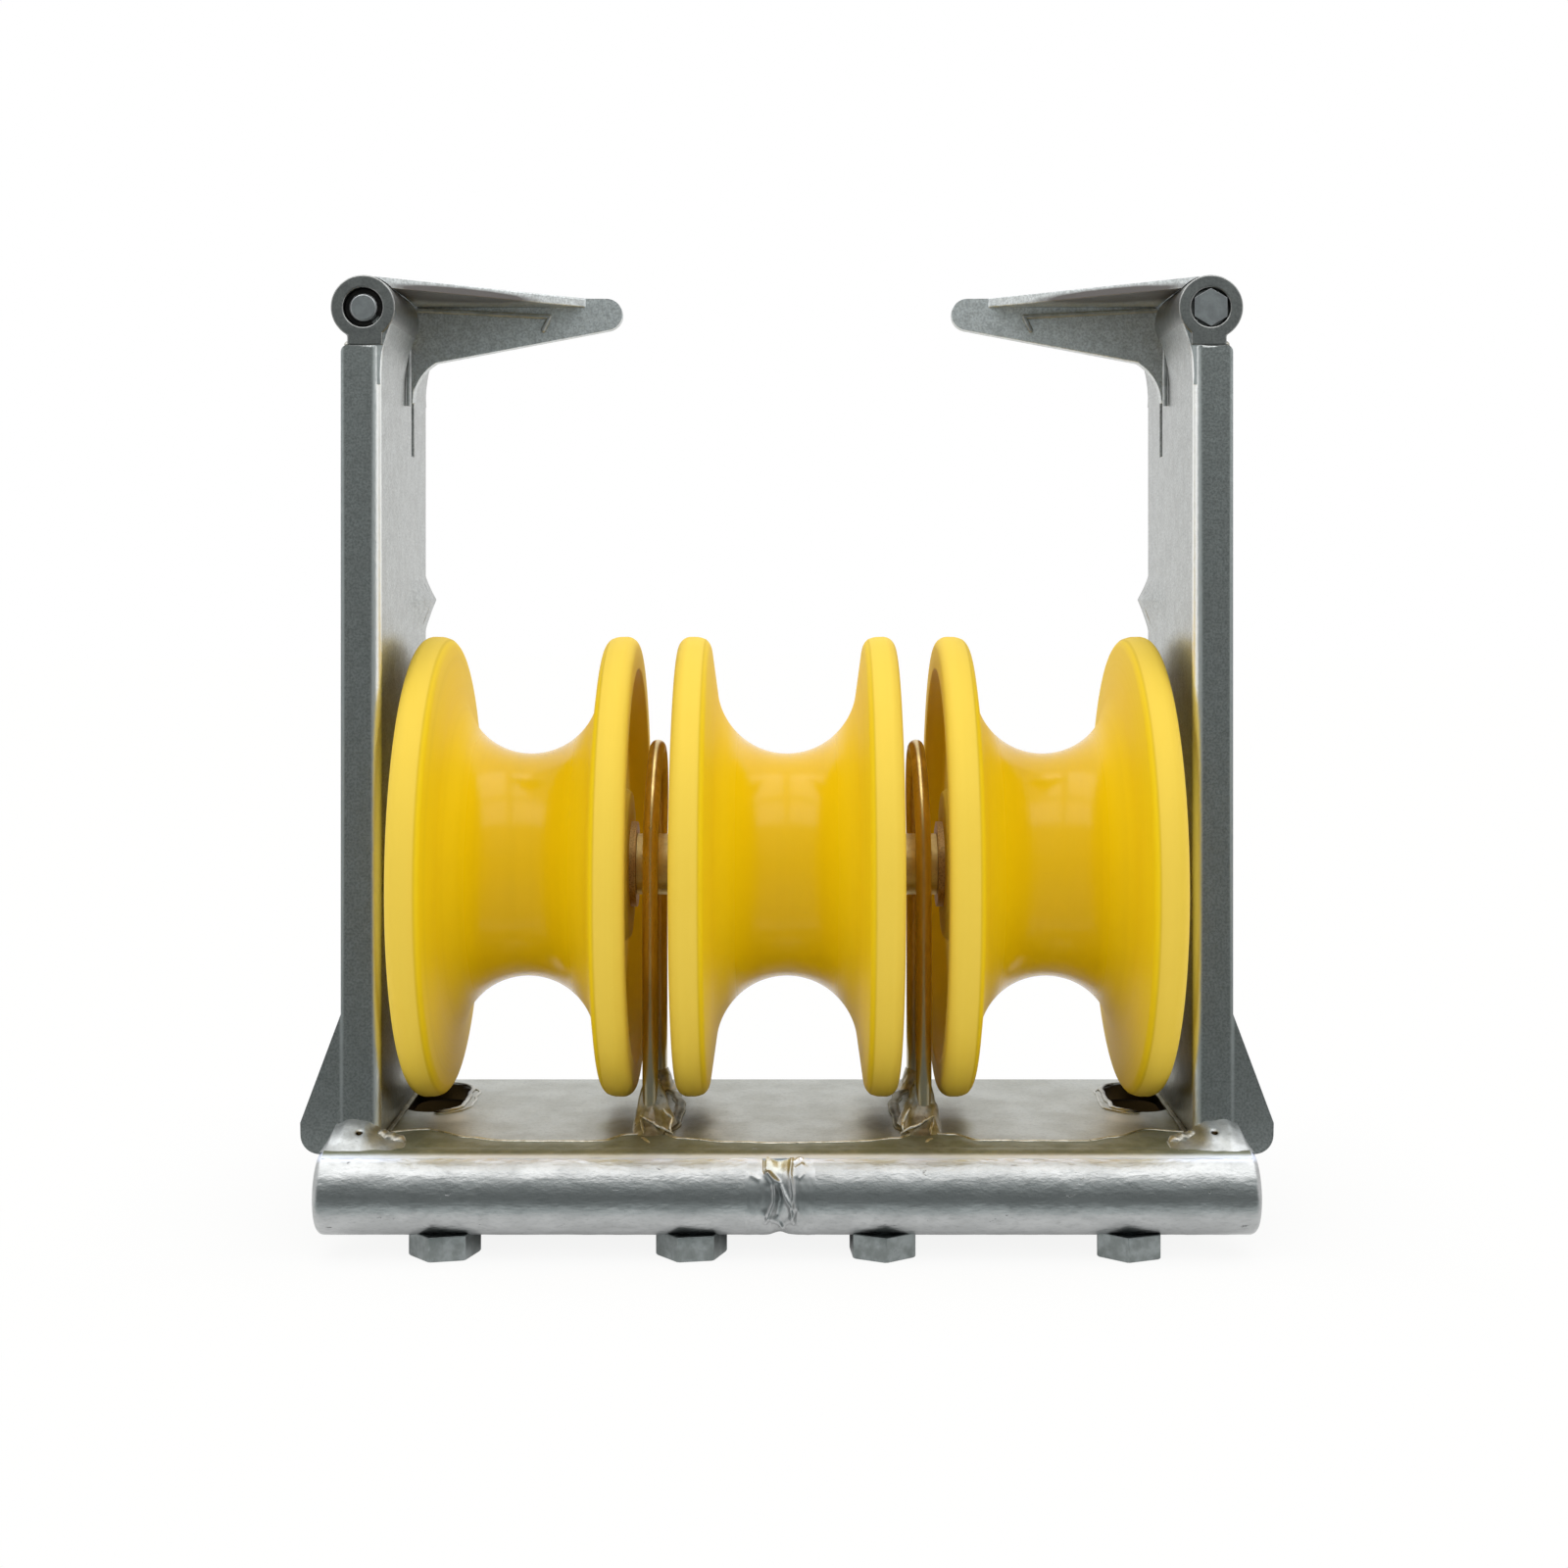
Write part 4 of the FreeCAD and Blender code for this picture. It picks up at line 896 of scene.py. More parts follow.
@dataclass
class Rollers:
    """Three moulded rollers with their bushes, on an axle with spacers and washers."""

    width: float = 71.3
    neck: float = 36.4
    groove: float = 23.2
    rim: float = 75.0
    draft: float = 8.0
    inner_round: float = 4.5
    outer_round: float = 4.0
    rim_flat: Knots = ((2.66, 0.84), (2.3, 0.68), (1.2, 0.28), (0.0, 0.04))
    lip: float = 10.2
    dish_edge: float = 15.2
    dish_depth: float = 7.0
    corner: float = 2.0
    hub: float = 24.0
    hub_foot: float = 4.0
    hub_setback: float = 2.3
    edge: float = 0.8
    bore: float = 11.0
    chamfer: float = 0.6
    sides: int = 128

    def section(self) -> np.ndarray:
        """Half section from the bottom of the groove outward and back along the side face.

        The groove is an arc, the wall a line tangent to it, the rim two arcs with a flat between,
        and the dish a run of lines with arcs in its corners.

        Returns:
            n x 2 points, X from the roller's middle and radius from the axle.
        """
        lean = math.radians(self.draft)
        face = self.width / 2
        middle = (0.0, self.neck + self.groove)
        wall = (self.groove * math.cos(lean), middle[1] - self.groove * math.sin(lean))
        low = self.rim - self.inner_round
        rim_x = wall[0] + (self.inner_round + (low - wall[1]) * math.sin(lean)) / math.cos(lean)
        floor = face - self.dish_depth + self.corner
        hub_face = face - self.hub_setback
        return np.concatenate([
            arc(middle, self.groove, -90, -self.draft, 34),
            arc((rim_x, low), self.inner_round, 180 - self.draft, 128, 12),
            (rim_x, self.rim) - np.array(self.rim_flat),
            arc((face - self.outer_round, self.rim - self.outer_round), self.outer_round,
                90, 0, 12),
            arc((face - self.edge, self.rim - self.lip), self.edge, 0, -70, 5),
            arc((floor, self.rim - self.dish_edge), self.corner, 110, 180, 6),
            arc((floor, self.hub + self.hub_foot), self.corner, 180, 245, 6),
            arc((hub_face - self.edge, self.hub - self.edge), self.edge, 60, 0, 4),
            [[hub_face, self.bore + self.chamfer], [hub_face - self.chamfer, self.bore]]])

    def build(self) -> None:
        """Model the rollers and dress their bushes and the axle."""
        half = self.section()
        whole = np.concatenate([half[::-1] * (-1, 1), half[1:]])
        for step, place in enumerate(("left", "middle", "right"), -1):
            body = Body(f"roller_{place}")
            grid = revolve(whole + (step * ROLLER_PITCH, 0), self.sides, (0.0, AXLE_HEIGHT))
            Piece(f"{body.value}_moulding", Look.ROLLER, "roller_yellow", body.value, body).skin(
                grid, ring=True, crease=60)
            coat(Look.BUSH, f"roller_bushes_{place}")
        coat(Look.AXLE, "axle", "axle_washers")
        coat(Look.SPACER, *(f"axle_spacer_{place}"
                            for place in ("far_left", "left", "right", "far_right")))


@dataclass
class FrontBar:
    """Round bar of two lengths with the butt weld between them.

    A fold of the weld is a line, by X and by degrees up from the bar's front, with the width and
    height of its bell. A negative height makes a furrow.
    """

    half: float = 142.3
    end_round: float = 2.4
    end_rings: Pair = (4.0, 0.02)
    core: float = 8.0
    weld_ends: Pair = (-12.5, 8.5)
    overlap: float = 0.5
    notch: float = -2.2
    notch_depth: float = 1.0
    notch_width: float = 2.2
    fade: float = 1.6
    dents: Rough = ((0.05, 4, 9.0), (0.03, 5, 4.0))
    wrinkles: Rough = ((0.10, 11, 6.0), (0.04, 12, 2.8))
    folds: tuple[tuple[Knots, float, float], ...] = (
        (((-5.6, 38), (-2.3, 25), (-0.9, 9), (1.2, -6), (2.0, -30)), 0.85, 1.0),
        (((-6.1, 38), (-4.1, 26), (-3.7, 13), (-3.8, 0), (-5.3, -17), (-6.4, -30)), 0.7, 0.75),
        (((-2.8, 80), (-2.7, 55), (0.2, 32)), 2.6, 0.55),
        (((1.4, 62), (0.9, 38), (1.6, 10), (1.4, -4)), 0.6, 0.45),
        (((-5.8, -20), (-3.6, -30), (-0.9, -42)), 0.8, 0.8),
        (((2.4, -13), (0.6, -26), (-1.8, -42)), 0.8, 0.7),
        (((2.4, 58), (3.8, 66), (4.6, 64)), 0.45, 0.22), (((2.8, 47), (4.6, 53)), 0.5, 0.20),
        (((3.8, 32), (5.0, 38)), 0.45, 0.18), (((-10.6, 36), (-8.8, 31)), 0.7, 0.25),
        (((-6.9, 88), (-6.8, 42)), 0.4, -0.35), (((-2.2, 24), (-1.9, 2), (-3.0, -20)), 0.8, -0.5),
        (((2.9, 30), (3.2, 0), (3.4, -26)), 0.9, -0.35), (((-6.0, 20), (-6.6, -8)), 1.2, -0.4))
    steps: int = 120
    sides: int = 96
    weld_steps: int = 220
    weld_sides: int = 240

    def tube(self, run: np.ndarray) -> np.ndarray:
        """X and radius along the bar: its own radius less a bell-shaped waist at the weld."""
        waist = np.exp(-((run - self.notch) / self.notch_width) ** 2)
        return spread(run, BAR_RADIUS - self.notch_depth * waist)

    def pushed(self, grid: np.ndarray, push: np.ndarray) -> np.ndarray:
        """Points moved away from the bar's middle line, but for those in its core.

        Args:
            grid: points, any shape ending in 3.
            push: how far each goes.

        Returns:
            The moved points.
        """
        outward = (grid - (0.0, *BAR_PLACE)) * (0, 1, 1)
        reach = np.linalg.norm(outward, axis=-1, keepdims=True)
        return grid + outward / np.maximum(reach, 1.0) * push[..., None] * (reach > self.core)

    def length(self, side: Side) -> None:
        """Model one length of the bar.

        The outer end is closed by a quarter-round and a flat face; the inner end is cut square.

        Args:
            side: which side of the block.
        """
        sign = side.value
        start = self.weld_ends[side is Side.RIGHT] - sign * self.overlap
        end = sign * self.half
        run = np.linspace(start, end - sign * self.end_round, self.steps)
        lip = arc((0.0, BAR_RADIUS - self.end_round), self.end_round, 90, 0, 9)[1:]
        lip[:, 0] = end - sign * self.end_round + sign * lip[:, 0]
        outer, inner = self.end_rings
        section = np.concatenate([[[start, inner]], self.tube(run), lip,
                                  [[end, outer], [end, inner]]])
        grid = revolve(section, self.sides, BAR_PLACE)
        Piece(f"bar_length_{side.word}", Look.BAR, "bar_steel", f"front_bar_{side.word}").skin(
            self.pushed(grid, waves(grid, *self.dents)))

    def weld(self) -> None:
        """Model the butt weld.

        Its radius is the bar's plus folds and furrows: each is a bell of the distance from a
        line laid on the unrolled bar. Seeded waves make the whole uneven, and everything fades
        out toward both ends.
        """
        low, high = self.weld_ends
        run = np.linspace(low, high, self.weld_steps)
        grid = revolve(self.tube(run), self.weld_sides, BAR_PLACE)
        turn = np.linspace(-np.pi, np.pi, self.weld_sides, endpoint=False)
        place = spread(run[:, None], np.roll(turn, self.weld_sides // 2) * BAR_RADIUS)
        push = waves(grid, *self.wrinkles)
        for knots, width, height in self.folds:
            line = np.array(knots) * (1.0, math.radians(BAR_RADIUS))
            away = np.full(push.shape, np.inf)
            for start, way in zip(line[:-1], np.diff(line, axis=0)):
                share = np.clip((place - start) @ way / (way @ way), 0, 1)
                away = np.minimum(away, np.linalg.norm(
                    place - start - share[..., None] * way, axis=-1))
            push = push + height * np.exp(-(away / width) ** 2)
        push = push * eased(np.minimum(run - low, high - run) / self.fade)[:, None]
        Piece("butt_weld", Look.BUTT, node="front_bar_weld").skin(self.pushed(grid, push))

    def build(self) -> None:
        """Model both lengths and the weld."""
        for side in Side:
            self.length(side)
        self.weld()


@dataclass(frozen=True)
class Foot:
    """A wire's foot and the sizes of the skirt of weld round it.

    Its reach is how far the skirt runs out ahead, toward the front bar, its lean how far it
    leans inward, its power how fast it falls, and its squeeze narrows its front.
    """

    word: str
    leg: float
    shift: float
    height: float
    spread: float
    reach: float
    lean: float
    power: float
    squeeze: float
    seed: int


@dataclass
class SeamWeld:
    """The smooth bead between plate and bar, with a thin bead along its back edge."""

    plate_half: float = 140.5
    front: Pair = (-64.0, 30.0)
    back: Knots = (
        (-141, -40), (-129, -36), (-114, -31.5), (-99, -42), (-88, -46.5), (-58, -47), (-50, -38),
        (-40, -36), (-33, -43), (-20, -47.5), (-3, -49), (20, -47.5), (34, -43), (41, -36),
        (52, -38), (60, -46), (92, -46.5), (101, -42), (114, -31.5), (129, -36), (141, -40))
    steps: int = 24
    depth: float = 1.2
    cover: float = 0.1
    wobble: Rough = ((0.35, 21, 7.0),)
    lumps: Rough = ((0.06, 22, 6.0),)
    edge_bead: Bead = Bead(0.55, 0.4, pitch=5.0, share=0.02, chevron=0.03)

    def build(self) -> None:
        """Model both beads.

        The seam's front edge lies low on the bar, its back edge on a line through knots that
        swings back toward the wires and the slots, and its height is the greater of a low arch
        between them and a skin over the bar.
        """
        along = np.linspace(-self.plate_half, self.plate_half, 420)
        wobble = waves(spread(along, 0.0, 0.0), *self.wobble)
        y, z = self.front
        front = spread(along, y + 0.5 * wobble, z)
        rear = spread(along, through(self.back, along) + wobble, PLATE_TOP + 0.06)
        crown = spread(0.0, 0.0, 1.0 + 0.1 * wobble)
        grid = blanket(front, rear, crown, self.depth, self.steps)
        top = grid[:, :self.steps]
        middle, level = BAR_PLACE
        shoulder = level + np.sqrt(np.clip(BAR_RADIUS ** 2 - (top[..., 1] - middle) ** 2, 0, None))
        top[..., 2] = np.maximum(top[..., 2], shoulder + self.cover)
        top[..., 2] += waves(top, *self.lumps) * (top[..., 2] > PLATE_TOP + 0.2)
        Piece("plate_bar_weld", Look.SEAM).skin(grid)
        self.edge_bead.lay("seam_edge", rear + (0, 0.2, 0.1), Look.CREST)


@dataclass
class SideWelds:
    """The welds of one side: at the upright, its foot, the wire's feet and the slot."""

    side: Side
    pad_front: Pair = (-60.5, 31.0)
    pad_rear: float = -44.2
    pad_top: Knots = ((117, 31.0), (122, 32.0), (130.5, 37.0), (136, 37.6), (139.5, 36.2),
                      (141.8, 31.2))
    pad_bulge: float = -0.8
    pad_depth: float = 2.5
    pad_share: float = 0.25
    pad_places: int = 110
    pad_steps: int = 30
    pit_radius: float = 0.8
    pit_depth: float = 1.2
    feet: tuple[Foot, ...] = (
        Foot("front", -WIRE_LEG, 1.0, 15.0, 4.6, 13.0, 1.6, 1.05, 0.55, 51),
        Foot("rear", WIRE_LEG, 0.0, 7.0, 3.4, 0.8, 0.6, 0.65, 1.0, 53))
    skirt_inner: float = 2.4
    skirt_sunk: float = 0.4
    skirt_folds: float = 0.17
    skirt_steps: int = 44
    skirt_sides: int = 120
    fold_turns: float = 2.5
    fold_lean: float = 1.6
    toe_lines: tuple[tuple[Point, ...], ...] = (
        ((47.0, -31.5, 35.6), (43.5, -34.5, 35.2), (40.0, -37.0, 33.6), (35.4, -39.0, 31.8)),
        ((46.4, -32.5, 35.2), (45.2, -37.5, 33.6), (44.8, -41.5, 32.4)),
        ((45.0, -45.0, 31.9), (42.4, -50.5, 31.8)),
        ((39.0, -33.0, 38.5), (36.8, -34.5, 35.5), (36.2, -37.5, 32.0)))
    toe_bead: Bead = Bead(0.5, 0.45, share=0.4)
    toe_steps: int = 50
    toe_wander: float = 0.45
    toe_sunk: float = 0.35
    root_line: Knots = ((-40, 38.6), (-24, 35.6), (2, 35.2), (16, 37.4), (27, 41.5))
    root_ends: Pair = (26.0, -39.0)
    root_wander: Rough = ((0.4, 91, 9.0),)
    root_bead: Bead = Bead(1.8, 1.0, pitch=7.0, share=0.25, chevron=0.02)
    slot_radius: float = 9.5
    slot_ends: Pair = (2.5, 25.5)
    lip_height: float = 0.8
    lips: tuple[tuple[str, float, float], ...] = (("inner", 0.5, 0.8), ("outer", 3.2, 0.5))
    upright_ends: Pair = (-46.0, 44.0)
    upright_bead: Bead = Bead(0.9, 0.8, pitch=9.0, share=0.04, chevron=0.0)
    corner_line: tuple[Point, Point] = ((127.5, -46.5, 33.0), (117.5, -49.5, 31.2))
    corner_bead: Bead = Bead(2.6, 2.0, pitch=3.4, share=0.35, chevron=0.09)

    def foot_pad(self) -> None:
        """Model the pad of weld between the upright's foot and the bar.

        It lies from a line low on the flange down to the bar's crown, with lumps from seeded
        waves and a pit: a narrow bell sunk into it.
        """
        sign = self.side.value
        along = np.linspace(self.pad_top[0][0], self.pad_top[-1][0], self.pad_places)
        grid = blanket(spread(along * sign, *self.pad_front),
                       spread(along * sign, self.pad_rear, through(self.pad_top, along)),
                       spread(0.0, self.pad_bulge, taper(self.pad_places, self.pad_share)),
                       self.pad_depth, self.pad_steps)
        away = (grid[..., :2] * (sign, 1) - PIT_PLACE) / self.pit_radius
        pit = self.pit_depth * np.exp(-(away ** 2).sum(-1))
        lumps = waves(grid, (0.20, 31 + sign, 7.0), (0.03, 33 + sign, 2.6))
        grid[:, :self.pad_steps, 2] += (lumps - pit)[:, :self.pad_steps]
        Piece(f"foot_pad_{self.side.word}", Look.PAD).skin(grid)

    def skirt(self, foot: Foot) -> None:
        """Model the skirt of weld round a wire's foot.

        Its radius falls from the foot up to the wire by a power of the height, stretched toward
        the front bar and the middle of the block. The size of a sine of the turn makes cusped
        folds in it, and seeded waves make it uneven.

        Args:
            foot: which foot of the wire.
        """
        sign = self.side.value
        rise = np.linspace(0, 1, self.skirt_steps)[:, None]
        turn = turns(self.skirt_sides)
        sine, cosine = np.sin(turn), np.cos(turn)
        flare = 1 - rise ** foot.power
        cusps = np.abs(np.sin(self.fold_turns * turn + self.fold_lean * rise + sign)) \
            * np.clip(flare * 2, 0, 1)
        radius = self.skirt_inner + foot.spread * flare * (1 - self.skirt_folds * cusps)
        ahead = foot.reach * flare ** 4 * np.clip(cosine, 0, 1) ** 1.5
        inward = foot.lean * flare * np.clip(-sign * sine, 0, 1)
        narrow = np.where(cosine > 0, foot.squeeze, 1.0)
        grid = spread(sign * WIRE_X + (radius + inward) * sine,
                      foot.leg + foot.shift - ahead - radius * cosine * narrow,
                      PLATE_TOP - self.skirt_sunk + (foot.height + self.skirt_sunk) * rise)
        lump = waves(grid, (0.30, foot.seed + sign, 5.0), (0.10, 61, 2.2)) \
            * np.sin(np.pi * np.clip(rise, 0.05, 0.95))
        grid = grid + spread(sine, -cosine, 0.5) * lump[..., None]
        lid = np.broadcast_to((sign * WIRE_X, foot.leg, PLATE_TOP + foot.height), grid[:1].shape)
        Piece(f"wire_weld_{self.side.word}_{foot.word}", Look.BEAD).skin(
            np.concatenate([grid, lid]))

    def toes(self) -> None:
        """Model the thin beads on the front foot's toe, each along straight runs made uneven."""
        for number, knots in enumerate(self.toe_lines):
            line = np.array(knots)
            share = np.linspace(0, len(line) - 1, self.toe_steps)
            path = spread(*(np.interp(share, np.arange(len(line)), axis) for axis in line.T))
            path *= (self.side.value, 1, 1)
            path += spread(*(waves(path, (self.toe_wander, 63 + number + axis, 4.0))
                             for axis in range(3))) - (0, 0, self.toe_sunk)
            self.toe_bead.lay(f"toe_bead_{self.side.word}_{number}", path, Look.CREST)

    def wire_root(self) -> None:
        """Model the low run of weld from the wire's rear foot to its front foot."""
        place = np.linspace(*self.root_ends, 90)
        path = spread(self.side.value * through(self.root_line, place), place, PLATE_TOP + 0.1)
        path[:, 0] += waves(path, *self.root_wander)
        self.root_bead.lay(f"wire_root_{self.side.word}", path, Look.SOOTY)

    def slot_lips(self) -> None:
        """Model the torn ridges round the inner and near edge of the slot.

        Each runs along an arc, a straight and an arc, at its own distance from the slot's edge.
        """
        near, far = self.slot_ends
        for name, off, size in self.lips:
            straight = spread(SLOT_X - self.slot_radius - off,
                              np.linspace(far - 1.0 - 2 * off, near + 0.7, 24))
            flat = np.concatenate([
                arc((SLOT_X - off, far - 2 * off), self.slot_radius, 110, 176, 24), straight,
                arc((SLOT_X, near), self.slot_radius + off, 180, 262, 60)])
            path = spread(self.side.value * flat[:, 0], flat[:, 1], PLATE_TOP + 0.05)
            path[:, :2] += waves(path, (0.35 + 0.1 * off, 71 + int(off), 8.0))[:, None]
            Bead(size, size * self.lip_height, pitch=3.5, share=0.3).lay(
                f"slot_lip_{name}_{self.side.word}", path, Look.LIP)

    def build(self) -> None:
        """Model every bead of the side."""
        self.foot_pad()
        self.slot_lips()
        front, rear = self.feet
        self.skirt(front)
        self.toes()
        self.skirt(rear)
        self.wire_root()
        sign = self.side.value
        upright = spread(sign * (UPRIGHT_INNER - 0.6), np.linspace(*self.upright_ends, 160),
                         PLATE_TOP + 0.2)
        self.upright_bead.lay(f"upright_weld_{self.side.word}", upright, Look.SOOTY)
        corner = np.linspace(*self.corner_line, 40) * (sign, 1, 1)
        self.corner_bead.lay(f"corner_weld_{self.side.word}", corner, Look.BEAD)


@dataclass
class DividerWires:
    """Two wire hairpins astride the axle."""

    wire: float = 2.5
    crown: float = 149.6
    bow: float = 0.9
    lean: Knots = ((0, 0.5), (112, 0.5), (152, -0.4), (200, -0.4))
    sunk: float = 0.5
    leg_steps: int = 60
    bend_steps: int = 70
    sides: int = 20

    def build(self) -> None:
        """Model both wires.

        The middle line is a straight leg, half a circle over the axle and a straight leg, in a
        plane of constant X, drawn inward by a smooth step near its top.
        """
        spring = self.crown - WIRE_LEG
        rise = np.linspace(PLATE_TOP - self.sunk, spring, self.leg_steps)[:-1]
        line = np.concatenate([spread(-WIRE_LEG, rise),
                               arc((0.0, spring), WIRE_LEG, 180, 0, self.bend_steps),
                               spread(WIRE_LEG, rise[::-1])])
        place = WIRE_X + self.bow * through(self.lean, line[:, 1])
        for side in Side:
            path = np.column_stack([side.value * place, line])
            Piece(f"divider_{side.word}", Look.WIRE, "wire_steel",
                  f"divider_wire_{side.word}").skin(
                sweep(path, (1.0, 0.0, 0.0), self.wire, self.wire, self.sides))


@dataclass
class Sheetwork:
    """Base plate, uprights, bolts and nuts, dressed from the solids."""

    edge: float = 0.7
    upright_edge: float = 1.1
    bolt_edge: float = 0.5
    nut_edge: float = 0.35

    def build(self) -> None:
        """Round the edges of the sheet pieces, the bolts and the nuts."""
        Piece("plate_sheet", Look.PLATE, "zinc_plate", "base_plate").soften(self.edge)
        for side in Side:
            Piece(f"channel_{side.word}", Look.UPRIGHT, "zinc_upright",
                  f"upright_{side.word}").soften(self.upright_edge, clamp=False)
        Piece("hex_bolts", Look.BOLT, "bolt_steel", "front_bolts").soften(self.bolt_edge)
        Piece("hex_nuts", Look.BOLT, "axle_steel", "axle_nuts").soften(self.nut_edge)


@dataclass
class LugFairings:
    """The smooth swelling of each web toward its pressed lug."""

    proud: float = 3.76
    peak: float = 198.1
    low: float = 187.0
    high: float = 206.6
    front: float = 4.0
    rear: float = 42.2
    ramp: float = 30.0
    power: float = 1.25
    bedded: float = 0.02
    sunk: float = 0.5

    def build(self) -> None:
        """Model both swellings.

        The height off the web is an eased ramp along Y times a power of the rise to the lug's
        peak and fall from it along Z; the back of the piece lies flat in the web.
        """
        up = np.linspace(self.low, self.high, 56)[:, None]
        depth = np.linspace(self.front, self.rear, 48)
        slope = np.where(up < self.peak, (up - self.low) / (self.peak - self.low),
                         (self.high - up) / (self.high - self.peak))
        height = self.proud * slope ** self.power * eased((depth - self.front) / self.ramp)
        for side in Side:
            face = spread(side.value * (UPRIGHT_INNER + self.bedded - height), depth, up)
            Piece(f"lug_fairing_{side.word}", Look.UPRIGHT, "zinc_upright").skin(
                backed(face, side.value * (UPRIGHT_INNER + self.sunk)))


@dataclass
class Hinge:
    """Knuckles, pin, clips, gate and spring at the top of one upright."""

    side: Side
    edge: float = 0.55
    gate_edge: float = 0.45
    pin_edge: float = 0.2
    axis: Pair = (131.6, 289.4)
    barrel_side: float = 9.1
    web_side: float = 5.4
    sunk: float = 1.2
    start: float = 4.0
    fall: float = 20.0
    power: float = 2.3
    ripple: float = 0.16
    ripple_pitch: float = 1.9
    ripple_reach: float = 4.0
    end_reach: float = 1.5
    end_depth: float = 0.5
    spans: tuple[tuple[str, float, float], ...] = (("front", -44.4, 0.6), ("rear", 22.4, 44.4))
    foot: Pair = (136.6, 277.8)
    foot_bead: Bead = Bead(1.15, 1.15, 1.9, 0.05, 0.07, 14, ((0.15, 81, 5.0),))
    clips: tuple[str, str] = ("hinge_clips_left", "hinge_clip_right")

    def build(self) -> None:
        """Dress the hinge and gate and add the knuckles' welds."""
        word, gate = self.side.word, f"GATE_{self.side.name}"
        Piece(f"knuckle_pair_{word}", Look.KNUCKLE, "knuckle_steel",
              f"hinge_knuckles_{word}").soften(self.edge)
        Piece(f"finger_{word}", Look[gate], "gate_steel", f"gate_finger_{word}",
              Body[gate]).soften(self.gate_edge, clamp=False)
        Piece(f"pin_{word}", Look.PIN, "pin_steel", f"hinge_pin_{word}").soften(self.pin_edge)
        coat(Look.SPRING, f"gate_spring_{word}", f"gate_spring_arm_{word}")
        coat(Look.PIN, f"gate_stop_{word}")
        coat(Look.CLIP, self.clips[self.side is Side.RIGHT])
        x, z = self.foot
        for name, start, end in self.spans:
            path = spread(self.side.value * x, np.linspace(start, end, 120), z)
            self.foot_bead.lay(f"knuckle_weld_{word}_{name}", path, Look.BEAD)
        for span in self.spans:
            self.fillet(*span)

    def fillet(self, name: str, start: float, end: float) -> None:
        """Model the weld that runs from a fixed knuckle's side down onto the web.

        Across, its face falls from the barrel's side to the web by a power of the height, so
        that it leaves the barrel along its slant and meets the web upright; a few small sine
        ripples run over its front end.

        Args:
            name: the end of its name.
            start: its front end along Y.
            end: its rear end along Y.
        """
        sign = self.side.value
        fall = np.linspace(0, 1, 40)
        run = np.linspace(start, end, 110)[:, None]
        arch = np.sin(np.pi * fall)
        phase = run / self.ripple_pitch + 0.8 * np.sin(3.0 * fall)
        ripple = self.ripple * np.sin(2 * np.pi * phase) \
            * np.exp(-((run - start) / self.ripple_reach) ** 2)
        ends = np.clip(np.minimum(run - start, end - run) / self.end_reach, 0, 1)
        out = self.web_side + (self.barrel_side - self.web_side) * (1 - fall) ** self.power \
            + ripple * arch ** 2 - self.end_depth * (1 - ends) * arch
        face = spread(sign * (self.axis[0] - out), run,
                      self.axis[1] - self.start - self.fall * fall)
        Piece(f"knuckle_fillet_{self.side.word}_{name}", Look.UPRIGHT).skin(
            backed(face, sign * (self.axis[0] - self.web_side + self.sunk)))


